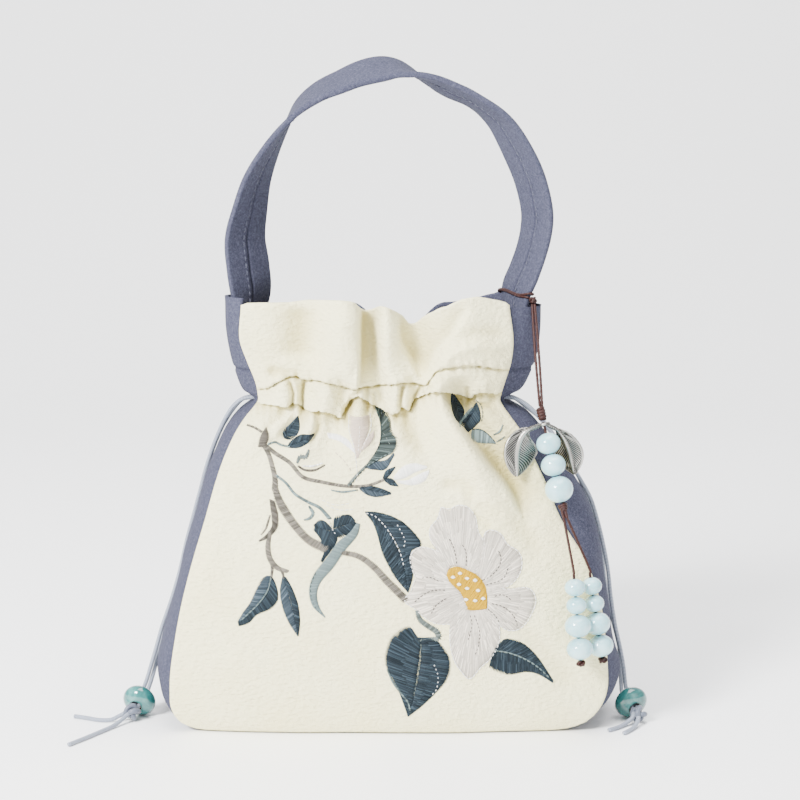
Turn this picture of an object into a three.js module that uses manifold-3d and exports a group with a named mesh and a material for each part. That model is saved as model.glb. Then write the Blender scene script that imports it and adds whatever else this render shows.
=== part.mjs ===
// A small drawstring handbag: a cream front panel, a blue-grey back, a blue-grey gusset that runs down one side,
// under the bag and up the other, a flat cloth strap sewn inside the mouth, a cord at each end of the gathered
// waist with a ceramic bead on it, and a beaded charm tied round the strap.
// Millimetres, +Z up, X across the bag, the front faces -Y, and the bag stands on the plane Z = 0.
import * as THREE from 'three';
import { mergeVertices } from 'three/addons/utils/BufferGeometryUtils.js';
import Module from 'manifold-3d';

const wasm = await Module();
wasm.setup();

// Driving sizes of the bag
const HALF_WIDTH = 110; // from the middle to the gusset's fullest point
const RIM_HEIGHT = 202; // the ruffled collar's top edge
const HALF_DEPTH = 42; // from the middle to the front's fullest point
const PANEL_WALL = 2; // two layers of cloth, measured along Y
const GUSSET_WALL = 1.7;
const SEAM_GAP = 0.3; // between two pieces that are sewn together
const CORNER_LEFT = 16; // radius of the front's lower left corner
const CORNER_RIGHT = 24;
const PANEL_CROWN = 2.6; // power of the curve that crowns a panel between its seams

// Driving sizes of the strap, cords and beads
const STRAP_WIDTH = 25;
const STRAP_THICKNESS = 3;
const STRAP_EDGE = 0.9; // how far its long edges are rounded
const STRAP_SEWN = 24; // how far its sewn ends reach down inside the mouth
const STRAP_RISE = 126.5; // from a sewn end to the top of its middle line
const STRAP_SPREAD = 0.9; // how far its fullest points stand out past the mouth's left seam
const CORD_DIAMETER = 2;
const CORD_SIDES = 8;
const CORD_STEP = 6; // three diameters from one ring of the cord to the next
const BIG_BEAD = { diameter: 16, length: 10, bore: 5.4 };
const CORD_KNOT = { across: 7, along: 7 };
const THREAD_DIAMETER = 1.1; // the charm's waxed thread
const THREAD_SIDES = 6;
const THREAD_BORE = 2; // the hole through each pale bead
const BEAD_GAP = 0.3; // between one bead and the next on a thread

// The bag's level sections. up is the height as a share of RIM_HEIGHT. left and right are the front seams, and
// swell_left and swell_right how far the gusset stands out past them, as shares of HALF_WIDTH. front is the
// panel's fullest point and side the seam's depth, as shares of HALF_DEPTH. steps is the number of rows of
// faces up to the next section.
const SECTIONS = [
  { up: 0.0, left: 0.923, right: 0.923, swell_left: 0.0, swell_right: 0.0, front: 0.88, side: 0.8, steps: 3 },
  { up: 0.035, left: 0.923, right: 0.923, swell_left: 0.045, swell_right: 0.05, front: 0.94, side: 0.84, steps: 1 },
  { up: 0.08, left: 0.922, right: 0.924, swell_left: 0.068, swell_right: 0.07, front: 0.97, side: 0.855, steps: 1 },
  { up: 0.135, left: 0.919, right: 0.925, swell_left: 0.081, swell_right: 0.075, front: 0.99, side: 0.85, steps: 1 },
  { up: 0.2, left: 0.903, right: 0.917, swell_left: 0.075, swell_right: 0.05, front: 1.0, side: 0.83, steps: 1 },
  { up: 0.3, left: 0.868, right: 0.892, swell_left: 0.052, swell_right: 0.046, front: 0.98, side: 0.8, steps: 1 },
  { up: 0.4, left: 0.82, right: 0.83, swell_left: 0.058, swell_right: 0.085, front: 0.96, side: 0.77, steps: 1 },
  { up: 0.495, left: 0.767, right: 0.725, swell_left: 0.057, swell_right: 0.146, front: 0.91, side: 0.72, steps: 1 },
  { up: 0.585, left: 0.719, right: 0.654, swell_left: 0.055, swell_right: 0.122, front: 0.84, side: 0.65, steps: 1 },
  { up: 0.64, left: 0.683, right: 0.605, swell_left: 0.053, swell_right: 0.105, front: 0.78, side: 0.59, steps: 1 },
  { up: 0.69, left: 0.64, right: 0.56, swell_left: 0.05, swell_right: 0.086, front: 0.71, side: 0.52, steps: 1 },
  { up: 0.723, left: 0.6, right: 0.515, swell_left: 0.045, swell_right: 0.075, front: 0.64, side: 0.45, steps: 2 },
  { up: 0.757, left: 0.55, right: 0.472, swell_left: 0.025, swell_right: 0.025, front: 0.56, side: 0.38, steps: 1 },
  { up: 0.775, left: 0.548, right: 0.475, swell_left: 0.065, swell_right: 0.08, front: 0.55, side: 0.385, steps: 1 },
  { up: 0.805, left: 0.558, right: 0.49, swell_left: 0.084, swell_right: 0.105, front: 0.57, side: 0.41, steps: 1 },
  { up: 0.855, left: 0.588, right: 0.513, swell_left: 0.082, swell_right: 0.118, front: 0.6, side: 0.46, steps: 1 },
  { up: 0.921, left: 0.618, right: 0.52, swell_left: 0.07, swell_right: 0.127, front: 0.64, side: 0.5, steps: 2 },
  { up: 1.0, left: 0.61, right: 0.503, swell_left: 0.086, swell_right: 0.152, front: 0.66, side: 0.52, steps: 0 },
];
const WAIST = 0.757; // the height of the drawstring channel, as a share of RIM_HEIGHT
const CHANNEL = 0.035; // half the channel's height, as a share of RIM_HEIGHT

// The collar's folds. rim and waist say where a fold lies at the rim and at the waist, from -1 at the left seam
// to 1 at the right one, and width how wide it is on that scale. out is how far it stands out at the rim, as a
// share of HALF_DEPTH, and drop how far it pulls the rim down, as a share of RIM_HEIGHT.
const FRONT_COLLAR = [
  { rim: -0.56, waist: -0.5, width: 0.2, out: -0.09, drop: 0.0 },
  { rim: -0.24, waist: -0.22, width: 0.15, out: 0.11, drop: -0.002 },
  { rim: -0.05, waist: -0.06, width: 0.075, out: -0.24, drop: 0.024 },
  { rim: 0.09, waist: 0.07, width: 0.09, out: 0.07, drop: 0.01 },
  { rim: 0.27, waist: 0.3, width: 0.13, out: -0.26, drop: 0.055 },
  { rim: 0.68, waist: 0.66, width: 0.22, out: 0.09, drop: -0.008 },
];
const BACK_COLLAR = [
  { rim: -0.75, waist: -0.6, width: 0.2, out: -0.08, drop: 0.03 },
  { rim: -0.4, waist: -0.35, width: 0.2, out: 0.1, drop: 0.04 },
  { rim: 0.02, waist: 0.0, width: 0.16, out: -0.18, drop: 0.05 },
  { rim: 0.25, waist: 0.25, width: 0.16, out: 0.06, drop: 0.075 },
  { rim: 0.62, waist: 0.55, width: 0.16, out: 0.1, drop: 0.02 },
];

// The gathers at the waist. at is a gather's place between the seams, as above, and lean how far it moves over
// by the time it has run down by RIM_HEIGHT. up and down are how far it reaches past the channel, as shares of
// RIM_HEIGHT, and out how far it stands out, as a share of HALF_DEPTH.
const FRONT_GATHERS = [
  { at: -0.8, lean: -0.6, width: 0.09, out: 0.06, up: 0.04, down: 0.14 },
  { at: -0.62, lean: -0.5, width: 0.08, out: -0.1, up: 0.05, down: 0.1 },
  { at: -0.46, lean: -0.4, width: 0.08, out: 0.07, up: 0.05, down: 0.14 },
  { at: -0.3, lean: -0.2, width: 0.07, out: -0.11, up: 0.06, down: 0.12 },
  { at: -0.15, lean: 0.0, width: 0.07, out: 0.06, up: 0.05, down: 0.12 },
  { at: 0.0, lean: 0.1, width: 0.07, out: -0.11, up: 0.08, down: 0.13 },
  { at: 0.15, lean: 0.1, width: 0.07, out: 0.05, up: 0.05, down: 0.14 },
  { at: 0.3, lean: 0.3, width: 0.07, out: -0.09, up: 0.05, down: 0.18 },
  { at: 0.5, lean: 0.75, width: 0.11, out: 0.12, up: 0.05, down: 0.36 },
  { at: 0.68, lean: 0.75, width: 0.08, out: -0.09, up: 0.04, down: 0.3 },
  { at: 0.84, lean: 0.2, width: 0.07, out: 0.04, up: 0.04, down: 0.1 },
];
const BACK_GATHERS = [
  { at: -0.75, lean: -0.3, width: 0.11, out: 0.07, up: 0.06, down: 0.16 },
  { at: -0.5, lean: -0.2, width: 0.11, out: -0.09, up: 0.07, down: 0.18 },
  { at: -0.25, lean: -0.1, width: 0.11, out: 0.09, up: 0.07, down: 0.24 },
  { at: 0.0, lean: 0.0, width: 0.11, out: -0.1, up: 0.08, down: 0.2 },
  { at: 0.25, lean: 0.1, width: 0.11, out: 0.08, up: 0.07, down: 0.22 },
  { at: 0.5, lean: 0.2, width: 0.11, out: -0.1, up: 0.07, down: 0.18 },
  { at: 0.75, lean: 0.3, width: 0.11, out: 0.08, up: 0.06, down: 0.2 },
];
const FRONT = { facing: -1, collar: FRONT_COLLAR, gathers: FRONT_GATHERS };
const BACK = { facing: 1, collar: BACK_COLLAR, gathers: BACK_GATHERS };

// The tuck in the middle of each side of the collar: its place and width on the gusset from -1 at the front to 1
// at the back, its depth as a share of HALF_WIDTH, and how far the gusset's own rim lies below the panels'.
const TUCK = { at: 0.3, width: 0.38, depth: 0.05, drop_left: 0.002, drop_right: 0.026 };

// The strap's middle line from its left foot to its right one. across is a share of its half span, up a share
// of STRAP_RISE, and turn the angle in degrees by which the near edge is turned away from the loop's inside.
const STRAP_LINE = [
  { across: -0.975, up: 0.0, turn: 2 },
  { across: -0.96, up: 0.09, turn: 22 },
  { across: -0.94, up: 0.18, turn: 43 },
  { across: -0.956, up: 0.28, turn: 47 },
  { across: -0.974, up: 0.385, turn: 42 },
  { across: -0.94, up: 0.49, turn: 33 },
  { across: -0.888, up: 0.6, turn: 24 },
  { across: -0.79, up: 0.712, turn: 12 },
  { across: -0.675, up: 0.81, turn: 0 },
  { across: -0.59, up: 0.868, turn: -12 },
  { across: -0.459, up: 0.92, turn: -17 },
  { across: -0.324, up: 0.952, turn: -20 },
  { across: -0.188, up: 0.982, turn: -23 },
  { across: -0.054, up: 0.998, turn: -25 },
  { across: 0.055, up: 0.999, turn: -19 },
  { across: 0.147, up: 0.986, turn: -2 },
  { across: 0.28, up: 0.959, turn: 9 },
  { across: 0.415, up: 0.925, turn: 17 },
  { across: 0.55, up: 0.893, turn: 11 },
  { across: 0.672, up: 0.849, turn: 15 },
  { across: 0.765, up: 0.799, turn: 22 },
  { across: 0.876, up: 0.7, turn: 28 },
  { across: 0.959, up: 0.6, turn: 29 },
  { across: 1.01, up: 0.48, turn: 29 },
  { across: 1.003, up: 0.41, turn: 28 },
  { across: 0.975, up: 0.343, turn: 26 },
  { across: 0.925, up: 0.263, turn: 27 },
  { across: 0.872, up: 0.19, turn: 27 },
  { across: 0.875, up: 0.1, turn: 16 },
  { across: 0.89, up: 0.0, turn: 2 },
];
const STRAP_STEPS = 40;

// The cords, each from where it leaves the gathered waist, down over the gusset and through its bead into the
// knot, and then from the knot to its bare end on the ground.
const CORD_ROUTES = {
  left_cord_front: [
    [-65.9, -6.0, 153.2], [-69.2, -6.0, 152.0], [-72.8, -5.0, 148.6], [-75.8, -3.4, 144.0], [-78.8, -0.6, 138.0],
    [-82.9, 4.0, 128.4], [-86.8, 9.0, 117.4], [-90.1, 13.0, 106.0], [-93.8, 15.4, 93.0], [-97.8, 16.6, 79.0],
    [-101.4, 16.6, 64.0], [-105.6, 15.6, 50.0], [-109.8, 12.4, 38.0], [-112.6, 8.8, 28.0], [-114.9, 5.4, 20.0],
    [-116.6, 1.2, 14.0], [-118.2, -4.6, 10.0], [-118.55, -6.0, 9.45], [-119.9, -10.45, 7.65], [-121.2, -14.8, 5.9],
  ],
  left_cord_back: [
    [-66.1, -2.0, 152.8], [-69.2, -2.0, 151.2], [-72.4, -1.0, 147.6], [-75.6, 1.0, 142.8], [-79.0, 4.4, 136.8],
    [-83.2, 9.0, 127.0], [-87.0, 13.6, 116.0], [-90.2, 17.2, 104.0], [-93.3, 19.4, 92.0], [-97.2, 20.6, 78.0],
    [-100.8, 20.8, 63.0], [-104.8, 20.2, 49.0], [-108.6, 17.0, 37.0], [-111.2, 13.2, 27.4], [-113.0, 8.8, 19.6],
    [-114.4, 3.0, 14.0], [-115.7, -5.4, 10.0], [-116.25, -6.7, 9.45], [-117.6, -11.15, 7.65],
    [-118.9, -15.5, 5.9],
  ],
  right_cord_front: [
    [57.0, -6.5, 153.4], [60.4, -6.5, 152.4], [65.4, -6.2, 149.2], [71.0, -5.4, 143.2], [77.4, -3.4, 134.6],
    [83.8, -0.6, 124.6], [89.8, 2.6, 114.2], [95.7, 4.8, 103.6], [99.3, 5.4, 93.0], [102.2, 4.2, 81.6],
    [104.6, 2.0, 68.8], [106.2, 0.2, 55.0], [108.4, -0.8, 41.6], [111.2, -1.0, 29.4], [112.8, -1.6, 20.4],
    [113.4, -3.4, 13.8], [114.2, -7.0, 10.0], [114.55, -8.4, 9.45], [116.2, -12.8, 7.65], [117.8, -17.0, 5.9],
  ],
  right_cord_back: [
    [57.2, -2.4, 153.0], [60.4, -2.4, 151.6], [64.8, -1.8, 148.0], [71.6, -0.2, 142.2], [77.9, 3.0, 133.8],
    [84.0, 6.8, 124.0], [89.8, 10.0, 113.8], [94.6, 12.2, 103.4], [98.6, 13.0, 93.0], [102.0, 13.0, 81.6],
    [103.2, 12.0, 68.8], [105.2, 11.0, 55.0], [108.2, 9.8, 41.6], [111.2, 8.0, 29.4], [112.0, 4.6, 20.4],
    [111.6, -1.2, 13.6], [111.6, -8.0, 10.0], [112.35, -9.25, 9.45], [114.0, -13.65, 7.65],
    [115.6, -17.9, 5.9],
  ],
};
const TAIL_ROUTES = {
  left_tail_long: [
    [-123.5, -21.7, 3.8], [-125.8, -25.0, 2.4], [-129.2, -29.8, 1.2], [-134.0, -37.0, 1.05],
    [-139.4, -45.2, 1.05], [-145.6, -54.0, 1.05],
  ],
  left_tail_short: [
    [-125.0, -19.3, 4.1], [-127.6, -19.9, 2.8], [-131.2, -20.4, 1.3], [-137.0, -19.9, 1.05],
    [-143.2, -17.0, 1.05], [-149.2, -14.6, 1.05],
  ],
  right_tail_near: [
    [117.4, -24.7, 3.7], [116.4, -27.6, 2.3], [114.6, -31.0, 1.25], [112.0, -34.8, 1.05], [109.2, -38.4, 1.05],
  ],
  right_tail_far: [
    [115.1, -23.3, 3.7], [113.0, -25.2, 2.4], [110.4, -27.4, 1.3], [106.8, -31.0, 1.05], [102.6, -34.4, 1.05],
  ],
};

// The two beads on the cords: their middles, and the way their bores run towards the knot
const CORD_BEADS = [
  { name: 'left_cord_bead', middle: [-118.75, -10.8, 7.65], bore: [-0.27, -0.89, -0.36] },
  { name: 'right_cord_bead', middle: [115.1, -13.2, 7.65], bore: [0.33, -0.87, -0.36] },
];

// The points that the charm's threads run through, from the strap to the ends of the two lower threads. across
// is a share of HALF_WIDTH, out of HALF_DEPTH towards the front and up of RIM_HEIGHT.
const CHARM_ROUTE = {
  knot: { across: 0.636, out: 0.633, up: 0.74 },
  split: { across: 0.738, out: 0.914, up: 0.5 },
  front: { across: 0.766, out: 1.086, up: 0.383 },
  front_end: { across: 0.799, out: 1.214, up: 0.175 },
  back: { across: 0.838, out: 0.943, up: 0.378 },
  back_end: { across: 0.896, out: 1.014, up: 0.175 },
};
// The turns of thread round the strap. at is their place along it, clear how far they stand off it, and slip how
// far along it the knot lies from them.
const HITCH = { at: 37 / STRAP_STEPS, width: 2.5, thickness: 1.1, clear: 0.8, slip: 1.6 };
const HITCH_KNOT = { across: 3.4, along: 4.4 };
const CHARM_KNOT = { across: 4.4, along: 7 };
const END_KNOT = { across: 3.4, along: 3.8 };
const WHIPPING = { length: 7, top: 3, bottom: 4.8 }; // the binding where the thread divides
const CHARM_BEADS = {
  charm_top: [
    { diameter: 11.2, length: 9.6 },
    { diameter: 11.4, length: 10.0 },
    { diameter: 13.0, length: 12.0 },
  ],
  charm_front: [
    { diameter: 9.5, length: 8.0 },
    { diameter: 9.3, length: 7.9 },
    { diameter: 12.2, length: 10.3 },
    { diameter: 12.2, length: 10.0 },
  ],
  charm_back: [
    { diameter: 9.3, length: 8.0 },
    { diameter: 9.1, length: 7.8 },
    { diameter: 12.0, length: 10.4 },
    { diameter: 12.0, length: 10.0 },
  ],
};

// The charm's cast leaves: where each leaf's rib runs from the middle of the eye, the way its face looks, and
// its width
const LEAF_THICKNESS = 1.3;
const LEAF_RIB = 0.7; // how far the middle rib stands up
const LEAF_EYE = { radius: 2.1, wire: 0.75, drop: 5.2 }; // drop is from the middle of the knot
const LEAVES = [
  { rib: [[-2.2, -0.2, -0.1], [-9.1, -2.7, -3.1], [-12.4, -3.7, -10.9], [-12.9, -3.3, -23.4]],
    face: [0.3, -0.93, 0.2], width: 15.0 },
  { rib: [[2.2, 0.2, -0.1], [9.3, 1.9, -3.7], [13.5, 2.1, -12.7], [14.9, 1.3, -23.4]],
    face: [-0.6, -0.78, 0.2], width: 14.0 },
];

const CREAM = { color: 0xf3efd9, roughness: 0.9, metalness: 0 };
const BLUE_GREY = { color: 0x7d83a0, roughness: 0.92, metalness: 0 };
const CORD_GREY = { color: 0xa9b0bd, roughness: 0.5, metalness: 0 };
const TEAL_GLAZE = { color: 0x5b9a97, roughness: 0.12, metalness: 0 };
const PALE_GLAZE = { color: 0xc4dfe2, roughness: 0.1, metalness: 0 };
const BROWN_WAX = { color: 0x43211c, roughness: 0.45, metalness: 0 };
const OLD_SILVER = { color: 0xa8a69c, roughness: 0.35, metalness: 1 };

// A cubic through the sections' values of one column at a height
function sectionAt(up, column) {
  const rows = SECTIONS;
  let k = 0;
  while (k < rows.length - 2 && up > rows[k + 1].up) k += 1;
  const slope = (i) => {
    const a = rows[Math.max(i - 1, 0)];
    const b = rows[Math.min(i + 1, rows.length - 1)];
    return (b[column] - a[column]) / (b.up - a.up);
  };
  const span = rows[k + 1].up - rows[k].up;
  const t = (up - rows[k].up) / span;
  const t2 = t * t;
  const t3 = t2 * t;
  return (2 * t3 - 3 * t2 + 1) * rows[k][column] + (t3 - 2 * t2 + t) * span * slope(k)
    + (3 * t2 - 2 * t3) * rows[k + 1][column] + (t3 - t2) * span * slope(k + 1);
}

const bell = (t) => Math.exp(-t * t);

function ease(t) {
  const s = Math.min(Math.max(t, 0), 1);
  return s * s * (3 - 2 * s);
}

// How far the lower corner's arc takes the seam in at a height
function cornerInset(radius, height) {
  if (height >= radius) return 0;
  return radius - Math.sqrt(radius * radius - (radius - height) ** 2);
}

// The seam's distance from the middle on one side, -1 left or 1 right
function seamAt(side, up) {
  const column = side < 0 ? 'left' : 'right';
  const radius = side < 0 ? CORNER_LEFT : CORNER_RIGHT;
  return sectionAt(up, column) * HALF_WIDTH - cornerInset(radius, up * RIM_HEIGHT);
}

function foldsAt(u, up, collar, gathers) {
  const rise = ease((up - WAIST) / (1 - WAIST) * 1.6);
  const toRim = Math.min(Math.max((up - WAIST) / (1 - WAIST), 0), 1);
  let out = 0;
  for (const fold of collar) {
    const at = fold.waist + (fold.rim - fold.waist) * toRim;
    out += fold.out * bell((u - at) / fold.width) * rise;
  }
  for (const gather of gathers) {
    const away = Math.abs(up - WAIST) - CHANNEL;
    const reach = up > WAIST ? gather.up : gather.down;
    const at = gather.at + gather.lean * (WAIST - up);
    out += gather.out * bell((u - at) / gather.width) * (1 - ease(away / reach));
  }
  return out * (1 - u ** 12);
}

// A panel's distance from the middle plane at u, from -1 at the left seam to 1 at the right one
function panelDepth(u, up, collar, gathers) {
  const side = sectionAt(up, 'side');
  const crown = (sectionAt(up, 'front') - side) * (1 - Math.abs(u) ** PANEL_CROWN);
  return HALF_DEPTH * (side + crown + foldsAt(u, up, collar, gathers));
}

// The heights of the panels' rows. The lowest rows lie closer together, to follow the corners' arcs.
function rowHeights() {
  const heights = [];
  SECTIONS.slice(0, -1).forEach((section, k) => {
    const next = SECTIONS[k + 1];
    for (let i = 0; i < section.steps; i += 1) {
      const t = i / section.steps;
      heights.push(section.up + (next.up - section.up) * (k === 0 ? t * t : t));
    }
  });
  heights.push(1);
  return heights;
}

// The rim's height at u, as a share of RIM_HEIGHT
function rimShare(u, collar) {
  return 1 - collar.reduce((sum, fold) => sum + fold.drop * bell((u - fold.rim) / fold.width), 0);
}

// A closed mesh from rings of points: each ring joins the next. A loop's last ring joins its first; otherwise
// strips close the two ends.
function ringsToGeometry(rings, loop = false) {
  const count = rings[0].length;
  const positions = rings.flat().flatMap((p) => [p.x, p.y, p.z]);
  const index = [];
  for (let r = 0; r < rings.length - (loop ? 0 : 1); r += 1) {
    const next = (r + 1) % rings.length;
    for (let i = 0; i < count; i += 1) {
      const j = (i + 1) % count;
      index.push(r * count + i, r * count + j, next * count + j);
      index.push(r * count + i, next * count + j, next * count + i);
    }
  }
  const last = (rings.length - 1) * count;
  for (let i = 0; i < count / 2 - 1 && !loop; i += 1) {
    const j = count - 1 - i;
    index.push(i, j, j - 1, i, j - 1, i + 1);
    index.push(last + i, last + i + 1, last + j - 1, last + i, last + j - 1, last + j);
  }
  const geometry = new THREE.BufferGeometry();
  geometry.setAttribute('position', new THREE.Float32BufferAttribute(positions, 3));
  geometry.setIndex(index);
  return facingOut(geometry);
}

// Turns every face round if the mesh is inside out
function facingOut(geometry) {
  const p = geometry.attributes.position;
  const index = geometry.index.array;
  const [a, b, c] = [new THREE.Vector3(), new THREE.Vector3(), new THREE.Vector3()];
  let volume = 0;
  for (let i = 0; i < index.length; i += 3) {
    a.fromBufferAttribute(p, index[i]);
    b.fromBufferAttribute(p, index[i + 1]);
    c.fromBufferAttribute(p, index[i + 2]);
    volume += a.dot(b.cross(c));
  }
  if (volume < 0) {
    for (let i = 0; i < index.length; i += 3) {
      [index[i + 1], index[i + 2]] = [index[i + 2], index[i + 1]];
    }
  }
  geometry.computeVertexNormals();
  return geometry;
}

// The outer face of the front or back panel at u and at a row's height. facing is -1 for the front, 1 for the back.
function panelPoint(panel, u, row) {
  const above = Math.max(row - WAIST, 0) / (1 - WAIST);
  const up = row - above * (1 - rimShare(u, panel.collar));
  const half = (seamAt(-1, up) + seamAt(1, up)) / 2;
  const x = (seamAt(1, up) - seamAt(-1, up)) / 2 + u * half;
  return new THREE.Vector3(x, panel.facing * panelDepth(u, up, panel.collar, panel.gathers), up * RIM_HEIGHT);
}

function panelGeometry(panel, columns) {
  const rings = rowHeights().map((row) => {
    const outer = [];
    for (let i = 0; i <= columns; i += 1) outer.push(panelPoint(panel, -1 + (2 * i) / columns, row));
    const inner = outer.map((p) => new THREE.Vector3(p.x, p.y - panel.facing * PANEL_WALL, p.z));
    return [...outer, ...inner.reverse()];
  });
  return ringsToGeometry(rings);
}

// The gusset's places along its length: down the left side, along the bottom and up the right side
function gussetPlaces(bottomSteps) {
  const rows = rowHeights();
  const places = [...rows].reverse().map((row) => ({ side: -1, u: -1, row }));
  for (let i = 1; i < bottomSteps; i += 1) places.push({ side: 0, u: -1 + (2 * i) / bottomSteps, row: 0 });
  rows.forEach((row) => places.push({ side: 1, u: 1, row }));
  return places;
}

// The gusset's two sewn edges at a place: each lies a seam's gap behind its panel
function gussetEdges({ u, row }) {
  return [FRONT, BACK].map((panel) => {
    const p = panelPoint(panel, u, row);
    p.y -= panel.facing * (PANEL_WALL + SEAM_GAP);
    return p;
  });
}

// How far the gusset stands out past its seams at w, from -1 at the front seam to 1 at the back one
function gussetSwell(side, row, w) {
  if (side === 0) return 0;
  const column = side < 0 ? 'swell_left' : 'swell_right';
  const tuck = TUCK.depth * ease((row - WAIST) / (1 - WAIST) * 1.6) * bell((w - TUCK.at) / TUCK.width);
  return HALF_WIDTH * (sectionAt(row, column) * (1 - Math.abs(w) ** 3) - tuck * (1 - w ** 8));
}

function gussetGeometry(across, bottomSteps) {
  const places = gussetPlaces(bottomSteps);
  const edges = places.map(gussetEdges);
  const last = places.length - 1;
  // The gusset's own rim lies a little below the panels', on the lines that join their last two rows
  [[0, 1, TUCK.drop_left], [last, last - 1, TUCK.drop_right]].forEach(([end, next, drop]) => {
    edges[end].forEach((p, k) => {
      p.lerp(edges[next][k], (drop * RIM_HEIGHT) / (p.z - edges[next][k].z));
    });
  });
  const rings = places.map((place, k) => {
    const before = edges[Math.max(k - 1, 0)][0];
    const after = edges[Math.min(k + 1, last)][0];
    const along = new THREE.Vector2(after.x - before.x, after.z - before.z).normalize();
    const outer = [];
    for (let i = 0; i <= across; i += 1) {
      const w = -1 + (2 * i) / across;
      const p = edges[k][0].clone().lerp(edges[k][1], i / across);
      p.x += place.side * gussetSwell(place.side, place.row, w);
      outer.push(p);
    }
    const inner = outer.map((p) => new THREE.Vector3(p.x - along.y * GUSSET_WALL, p.y, p.z + along.x * GUSSET_WALL));
    return [...outer, ...inner.reverse()];
  });
  return ringsToGeometry(rings);
}

// The strap's frame at a share t of its length: its middle, its width's direction and its thickness's
const strapHalfSpan = () => seamAt(-1, 1) + STRAP_SPREAD;
const strapCurve = new THREE.CatmullRomCurve3(STRAP_LINE.map((s) => (
  new THREE.Vector3(s.across * strapHalfSpan(), 0, RIM_HEIGHT - STRAP_SEWN + s.up * STRAP_RISE)
)));

function strapFrame(t) {
  const middle = strapCurve.getPoint(t);
  const along = strapCurve.getTangent(t);
  const outward = new THREE.Vector3(-along.z, 0, along.x);
  const place = t * (STRAP_LINE.length - 1);
  const k = Math.min(Math.floor(place), STRAP_LINE.length - 2);
  const mix = place - k;
  const degrees = STRAP_LINE[k].turn * (1 - mix) + STRAP_LINE[k + 1].turn * mix;
  const turn = THREE.MathUtils.degToRad(degrees);
  const near = new THREE.Vector3(0, -1, 0);
  const width = near.clone().multiplyScalar(Math.cos(turn)).addScaledVector(outward, Math.sin(turn));
  const thick = outward.clone().multiplyScalar(Math.cos(turn)).addScaledVector(near, -Math.sin(turn));
  return { middle, along, width, thick };
}

// The strap's section: a flat band whose long edges are rounded off by an eighth of a turn
function strapSection() {
  const w = STRAP_WIDTH / 2;
  const t = STRAP_THICKNESS / 2;
  const e = STRAP_EDGE;
  return [[-w + e, -t], [w - e, -t], [w, -t + e], [w, t - e], [w - e, t], [-w + e, t], [-w, t - e], [-w, -t + e]];
}

function strapGeometry() {
  const rings = [];
  for (let i = 0; i <= STRAP_STEPS; i += 1) {
    const { middle, width, thick } = strapFrame(i / STRAP_STEPS);
    rings.push(strapSection().map(([w, t]) => middle.clone().addScaledVector(width, w).addScaledVector(thick, t)));
  }
  return ringsToGeometry(rings);
}

// A round cord along a smooth curve through the points
function cordGeometry(points, diameter, sides, steps) {
  const curve = new THREE.CatmullRomCurve3(points.map((p) => new THREE.Vector3(...p)));
  const section = new THREE.Shape();
  for (let i = 0; i < sides; i += 1) {
    const angle = (2 * Math.PI * i) / sides;
    section[i ? 'lineTo' : 'moveTo']((Math.cos(angle) * diameter) / 2, (Math.sin(angle) * diameter) / 2);
  }
  const count = steps ?? Math.max(4, Math.round(curve.getLength() / CORD_STEP));
  return new THREE.ExtrudeGeometry(section, { steps: count, extrudePath: curve, curveSegments: 1 });
}

// A drilled bead about the Z axis: a barrel whose ends are cut flat round its bore
function beadGeometry({ diameter, length, bore }, sides, bands) {
  const reach = Math.acos(Math.min((bore / diameter) * 1.15, 0.95));
  const profile = [new THREE.Vector2(bore / 2, -length / 2)];
  for (let i = 0; i <= bands; i += 1) {
    const angle = -reach + (2 * reach * i) / bands;
    const height = (Math.sin(angle) / Math.sin(reach)) * (length / 2);
    profile.push(new THREE.Vector2((Math.cos(angle) * diameter) / 2, height));
  }
  profile.push(new THREE.Vector2(bore / 2, length / 2), profile[0].clone());
  return new THREE.LatheGeometry(profile, sides).rotateX(Math.PI / 2);
}

// Turns a piece made about the Z axis so that its axis runs along a direction, and moves it to its place
function placeAlong(mesh, middle, direction) {
  mesh.position.copy(middle);
  mesh.quaternion.setFromUnitVectors(new THREE.Vector3(0, 0, 1), direction.clone().normalize());
  return mesh;
}

function piece(name, geometry, finish) {
  const mesh = new THREE.Mesh(geometry, new THREE.MeshStandardMaterial(finish));
  mesh.name = name;
  return mesh;
}

function knotGeometry(across, along, sides = 10, bands = 7) {
  return new THREE.SphereGeometry(across / 2, sides, bands).rotateX(Math.PI / 2).scale(1, 1, along / across);
}

// A cast leaf: a cupped blade with a rib along its middle
function leafGeometry({ rib, face, width }, eye) {
  const curve = new THREE.CatmullRomCurve3(rib.map((p) => new THREE.Vector3(...p).add(eye)));
  const look = new THREE.Vector3(...face).normalize();
  const rows = 8;
  const half = 2;
  const rings = [];
  for (let r = 0; r <= rows; r += 1) {
    const t = r / rows;
    const middle = curve.getPoint(t);
    const across = new THREE.Vector3().crossVectors(curve.getTangent(t), look).normalize();
    const reach = (width / 2) * (0.1 + 0.9 * Math.sin(Math.PI * Math.min(t * 1.02, 1) ** 1.25) ** 0.8);
    const front = [];
    const back = [];
    for (let i = -half; i <= half; i += 1) {
      const share = i / half;
      const cup = -0.16 * reach * share * share;
      const crest = i === 0 ? LEAF_RIB : 0;
      const p = middle.clone().addScaledVector(across, share * reach).addScaledVector(look, cup);
      front.push(p.clone().addScaledVector(look, LEAF_THICKNESS / 2 + crest));
      back.push(p.clone().addScaledVector(look, -LEAF_THICKNESS / 2));
    }
    rings.push([...front, ...back.reverse()]);
  }
  return ringsToGeometry(rings);
}

function toSolid(geometry) {
  const bare = new THREE.BufferGeometry();
  bare.setAttribute('position', geometry.attributes.position.clone());
  if (geometry.index) bare.setIndex(geometry.index.clone());
  const merged = mergeVertices(bare, 1e-4);
  return new wasm.Manifold(new wasm.Mesh({
    numProp: 3,
    vertProperties: new Float32Array(merged.attributes.position.array),
    triVerts: new Uint32Array(merged.index.array),
  }));
}

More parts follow.
